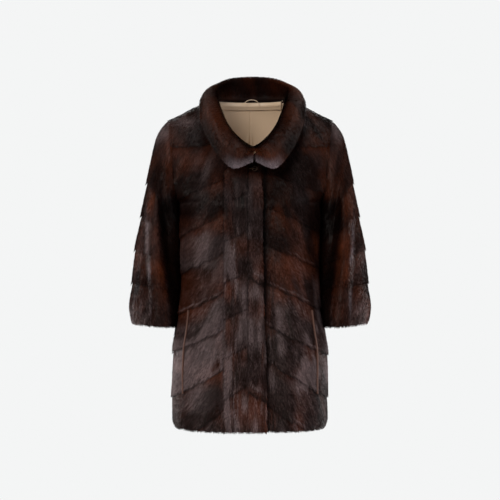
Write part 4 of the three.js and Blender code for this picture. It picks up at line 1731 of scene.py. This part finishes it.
def sweep(
    name: str, path: Array, half_wide: float, half_deep: float, closed: bool, sides: int = 12
) -> bpy.types.Object:
    """Makes a round or oval bar along a path.

    Args:
        name: The object's name.
        path: Points of its middle line.
        half_wide: Half of its size in the path's plane.
        half_deep: Half of its size across that plane, along Y for a path in X and Z.
        closed: Whether the path comes back to its start.
        sides: Points round the bar.

    Returns:
        The object.
    """
    run = np.gradient(path, axis=0)
    if closed:
        run[0] = run[-1] = path[1] - path[-2]
    run /= np.linalg.norm(run, axis=1, keepdims=True)
    centre = path - path.mean(axis=0)
    plane = np.linalg.svd(centre, full_matrices=False)[2][2]
    wide = np.cross(run, plane)
    wide /= np.linalg.norm(wide, axis=1, keepdims=True)
    deep = np.cross(wide, run)
    turn = np.linspace(0.0, 2.0 * math.pi, sides + 1)[:, None]
    ring = wide[:, None] * (np.cos(turn) * half_wide) + deep[:, None] * (np.sin(turn) * half_deep)
    points = path[:, None] + ring
    faces = grid_faces(len(path), sides + 1, 0, False)
    a, b = grid_shares(len(path), sides + 1)
    flat = points.reshape(-1, 3)
    uv = np.stack([a.ravel(), b.ravel()], axis=1)
    triangles = [faces[:, [0, 1, 2]], faces[:, [0, 2, 3]]]
    if not closed:
        first = np.arange(sides + 1)
        last = first + (len(path) - 1) * (sides + 1)
        ends = np.full(sides, len(flat))
        triangles.append(np.stack([first[:-1], first[1:], ends], 1))
        triangles.append(np.stack([last[1:], last[:-1], ends + 1], 1))
        flat = np.concatenate([flat, path[:1], path[-1:]])
        uv = np.concatenate([uv, uv[:1], uv[-1:]])
    obj = mesh_object(name, flat, np.concatenate(triangles), uv, None)
    weld(obj)
    return obj


def spline(knots: list[tuple[float, float, float]], steps: int) -> Array:
    """Returns points on a smooth path through knots, steps to a span."""
    at = np.linspace(0.0, len(knots) - 1.0, (len(knots) - 1) * steps + 1)
    return blend_rows(np.array(knots), at)


@dataclass(frozen=True)
class HangerLoop:
    """The bent strap inside the neck that hangs the coat up."""

    x: float = 4.0
    y: float = 55.2
    foot: float = -2.0
    width: float = 36.0
    rise: float = 13.0
    thick: float = 1.5
    deep: float = 2.6

    def build(self, fur: Wardrobe) -> bpy.types.Object:
        """Makes the loop.

        Args:
            fur: The materials.

        Returns:
            The object.
        """
        turn = np.linspace(0.0, math.pi, 33)
        path = np.stack(
            [
                self.x - self.width / 2.0 * np.cos(turn),
                np.full_like(turn, self.y),
                self.foot + self.rise * np.sin(turn) ** 0.8,
            ],
            axis=1,
        )
        obj = sweep("hanger_loop_strap", path, self.thick / 2.0, self.deep / 2.0, False)
        dress(obj, fur.satin)
        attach(obj, "root")
        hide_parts("hanger_loop")
        return obj


@dataclass(frozen=True)
class NeckHook:
    """The fur hook at the neck and its ring, of round wire."""

    x: float = 11.0
    y: float = -129.2
    z: float = -171.0
    wire: float = 1.1
    ring: float = 5.2
    length: float = 13.0
    bend: float = 3.6
    play: float = 0.8

    def build(self, fur: Wardrobe) -> tuple[bpy.types.Object, ...]:
        """Makes the hook and the ring.

        Args:
            fur: The materials.

        Returns:
            The two objects.
        """
        turn = np.linspace(0.0, 2.0 * math.pi, 49)
        level = self.z + self.ring * np.sin(turn)
        ring = np.stack([self.x + self.ring * np.cos(turn), np.full_like(turn, self.y), level], axis=1)
        apart = self.wire * 2.0 + self.play
        knots = [
            (-self.length, apart),
            (-self.length * 0.6, apart),
            (-self.bend * 0.6, apart),
            (self.bend * 0.3, 0.0),
            (-self.bend * 0.6, -apart),
            (-self.ring * 1.6, -apart * 1.1),
        ]
        path = spline([(self.x + x, self.y + y, self.z) for x, y in knots], 8)
        made = (
            sweep("neck_eye_ring", ring, self.wire, self.wire, True),
            sweep("neck_hook_wire", path, self.wire, self.wire, False),
        )
        for obj, node in zip(made, ("neck_eye", "neck_hook")):
            dress(obj, fur.wire)
            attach(obj, "root")
            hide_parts(node)
        return made


@dataclass(frozen=True)
class PocketWelt:
    """The leather edge of a pocket in a front's pile."""

    name: str
    side: float
    top: float = -507.0
    foot: float = -706.0
    around: float = 0.61
    half: float = 1.9
    half_girth: float = 190.0
    rise: float = 3.4
    crown: float = 1.2
    depth: float = 0.2

    def build(self, fur: Wardrobe, panel: BodyPanel) -> bpy.types.Object:
        """Makes the edge on a front.

        Args:
            fur: The materials.
            panel: The front.

        Returns:
            The object.
        """
        z = np.linspace(self.foot, self.top, 60)
        hem = panel.form.hem(np.full_like(z, self.around))
        height = (z - hem) / (SIZES.underarm - hem)
        b = (height - panel.HEM_INSET) / (2.0 - panel.HEM_INSET)
        sizes = panel.sizes
        across = np.linspace(-1.0, 1.0, 7)
        place = self.side * self.around + across * self.half / self.half_girth
        a = ((place - sizes.start) / (sizes.end - sizes.start))[:, None] + np.zeros_like(b)
        b = b[None, :] + np.zeros_like(a)
        crown = (1.0 - across**2)[:, None] * self.crown
        outer = panel.surface.at(a, b, self.rise + crown)
        inner = panel.surface.at(a, b, np.full_like(a, self.depth))
        obj = Shell(outer, inner, False).build(self.name + "_edge", (fur.leather,))
        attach(obj, "root")
        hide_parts(self.name)
        return obj


class Studio:
    """The floor, the lights, the pale surroundings and the camera."""

    CAMERA = (0.0, -3.2, -0.363)
    FOCAL = 94.0
    FLOOR_Z = -1.25
    FLOOR_RADIUS = 1.0
    PALE = "#f4f5f5"
    PAPER = "#bcbdbe"
    AIM = (0.0, 0.0, -0.4)
    WORLD_LIGHT = 0.12

    # Each light's name, place, size and power, and its colour
    LIGHTS = (
        ("key", (-1.4, -2.6, 1.3), 1.6, 66.0, "#fffaf4"),
        ("fill", (2.2, -2.2, 0.4), 2.0, 28.0, "#f4f7ff"),
        ("top", (0.0, 0.2, 2.0), 1.8, 34.0, "#ffffff"),
        ("side left", (-2.2, 0.6, -0.2), 1.4, 40.0, "#ffffff"),
        ("side right", (2.2, 0.6, -0.2), 1.4, 40.0, "#ffffff"),
        ("back", (0.0, 2.8, 0.8), 1.8, 50.0, "#ffffff"),
    )

    def light(
        self, name: str, place: tuple[float, float, float], size: float, watts: float, colour: str
    ) -> None:
        """Adds a square soft light that looks at the coat.

        Args:
            name: Its name.
            place: Where it stands, in metres.
            size: Its side, in metres.
            watts: Its power.
            colour: Its colour.
        """
        data = bpy.data.lights.new(name, "AREA")
        data.size = size
        data.energy = watts
        data.color = linear(colour)
        obj = bpy.data.objects.new(name, data)
        obj.location = place
        aim = Vector(self.AIM) - Vector(place)
        obj.rotation_euler = aim.to_track_quat("-Z", "Y").to_euler()
        bpy.context.scene.collection.objects.link(obj)

    def build(self) -> None:
        """Sets up the whole studio."""
        bpy.ops.mesh.primitive_circle_add(
            vertices=96, radius=self.FLOOR_RADIUS, fill_type="NGON", location=(0.0, 0.0, self.FLOOR_Z)
        )
        floor = bpy.context.active_object
        floor.name = "floor"
        paper = Finish("paper sweep, matt", self.PAPER, 0.9).make()
        floor.data.materials.append(paper)
        self.surroundings()
        for settings in self.LIGHTS:
            self.light(*settings)
        data = bpy.data.cameras.new("camera")
        data.lens = self.FOCAL
        data.sensor_width = 36.0
        data.dof.use_dof = False
        camera = bpy.data.objects.new("camera", data)
        camera.location = self.CAMERA
        camera.rotation_euler = (QUARTER, 0.0, 0.0)
        bpy.context.scene.collection.objects.link(camera)
        bpy.context.scene.camera = camera

    def surroundings(self) -> None:
        """Makes the surroundings pale to the camera and dimmer as light."""
        world = bpy.data.worlds.new("studio")
        bpy.context.scene.world = world
        bpy.context.scene.view_settings.view_transform = "Standard"
        world.use_nodes = True
        nodes, links = world.node_tree.nodes, world.node_tree.links
        nodes.clear()
        path = nodes.new("ShaderNodeLightPath")
        seen, lit = nodes.new("ShaderNodeBackground"), nodes.new("ShaderNodeBackground")
        seen.inputs["Color"].default_value = (*linear(self.PALE), 1.0)
        lit.inputs["Color"].default_value = (*linear(self.PALE), 1.0)
        lit.inputs["Strength"].default_value = self.WORLD_LIGHT
        mixer, out = nodes.new("ShaderNodeMixShader"), nodes.new("ShaderNodeOutputWorld")
        links.new(path.outputs["Is Camera Ray"], mixer.inputs["Fac"])
        links.new(lit.outputs["Background"], mixer.inputs[1])
        links.new(seen.outputs["Background"], mixer.inputs[2])
        links.new(mixer.outputs["Shader"], out.inputs["Surface"])


def place_at(x: float, width: float) -> float:
    """Returns the place round the body at which it reaches a distance from the centre."""
    return math.copysign(math.asin((abs(x) / width) ** (SIZES.square / 2.0)), x) / QUARTER


def main() -> None:
    """Builds the coat piece by piece, then the studio."""
    logging.basicConfig(level=logging.INFO, format="%(message)s")
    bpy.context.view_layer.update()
    fur = Wardrobe()
    closure = place_at(30.0, SIZES.underarm_x)
    at_hem = place_at(39.0, BODY_LEVELS[0, 1])
    under = place_at(-24.0, SIZES.underarm_x)
    front_cut, back_cut = ((0.33, 0.80), 0.21), ((0.52, 0.84), 0.38)
    right_sizes = PanelSizes(
        "front_right", Face.FRONT, -1.0, closure, RIGHT_SEAMS, front_cut, 52000, RIGHT_GLOSS, RIGHT_FOLDS
    )
    right = BodyPanel(replace(right_sizes, slant=at_hem - closure), 11)
    left_sizes = PanelSizes(
        "front_left", Face.FRONT, under, 1.0, LEFT_SEAMS, front_cut, 52000, LEFT_GLOSS, LEFT_FOLDS
    )
    left = BodyPanel(replace(left_sizes, underlap=True), 12)
    hook = NeckHook().build(fur)
    LOG.info("neck hook and its ring")
    right.build(fur, (PocketWelt("pocket_welt_right", -1.0).build(fur, right), *hook))
    LOG.info("right front with its pocket")
    left.build(fur, (PocketWelt("pocket_welt_left", 1.0).build(fur, left),))
    LOG.info("left front with its pocket")
    back = PanelSizes(
        "back", Face.BACK, -1.0, 1.0, BACK_SEAMS, back_cut, 46000, BACK_GLOSS, BACK_FOLDS
    )
    BodyPanel(back, 13).build(fur)
    LOG.info("back")
    for name, side, seed in (("sleeve_right", -1.0, 14), ("sleeve_left", 1.0, 15)):
        Sleeve(SleeveSizes(name, side), seed).build(fur)
        LOG.info(name)
    Collar(16).build(fur)
    LOG.info("collar")
    loop = HangerLoop().build(fur)
    Lining(LiningSizes(), 17).build(fur, loop)
    LOG.info("lining, facing and hanger loop")
    Studio().build()


if __name__ == "__main__":
    main()
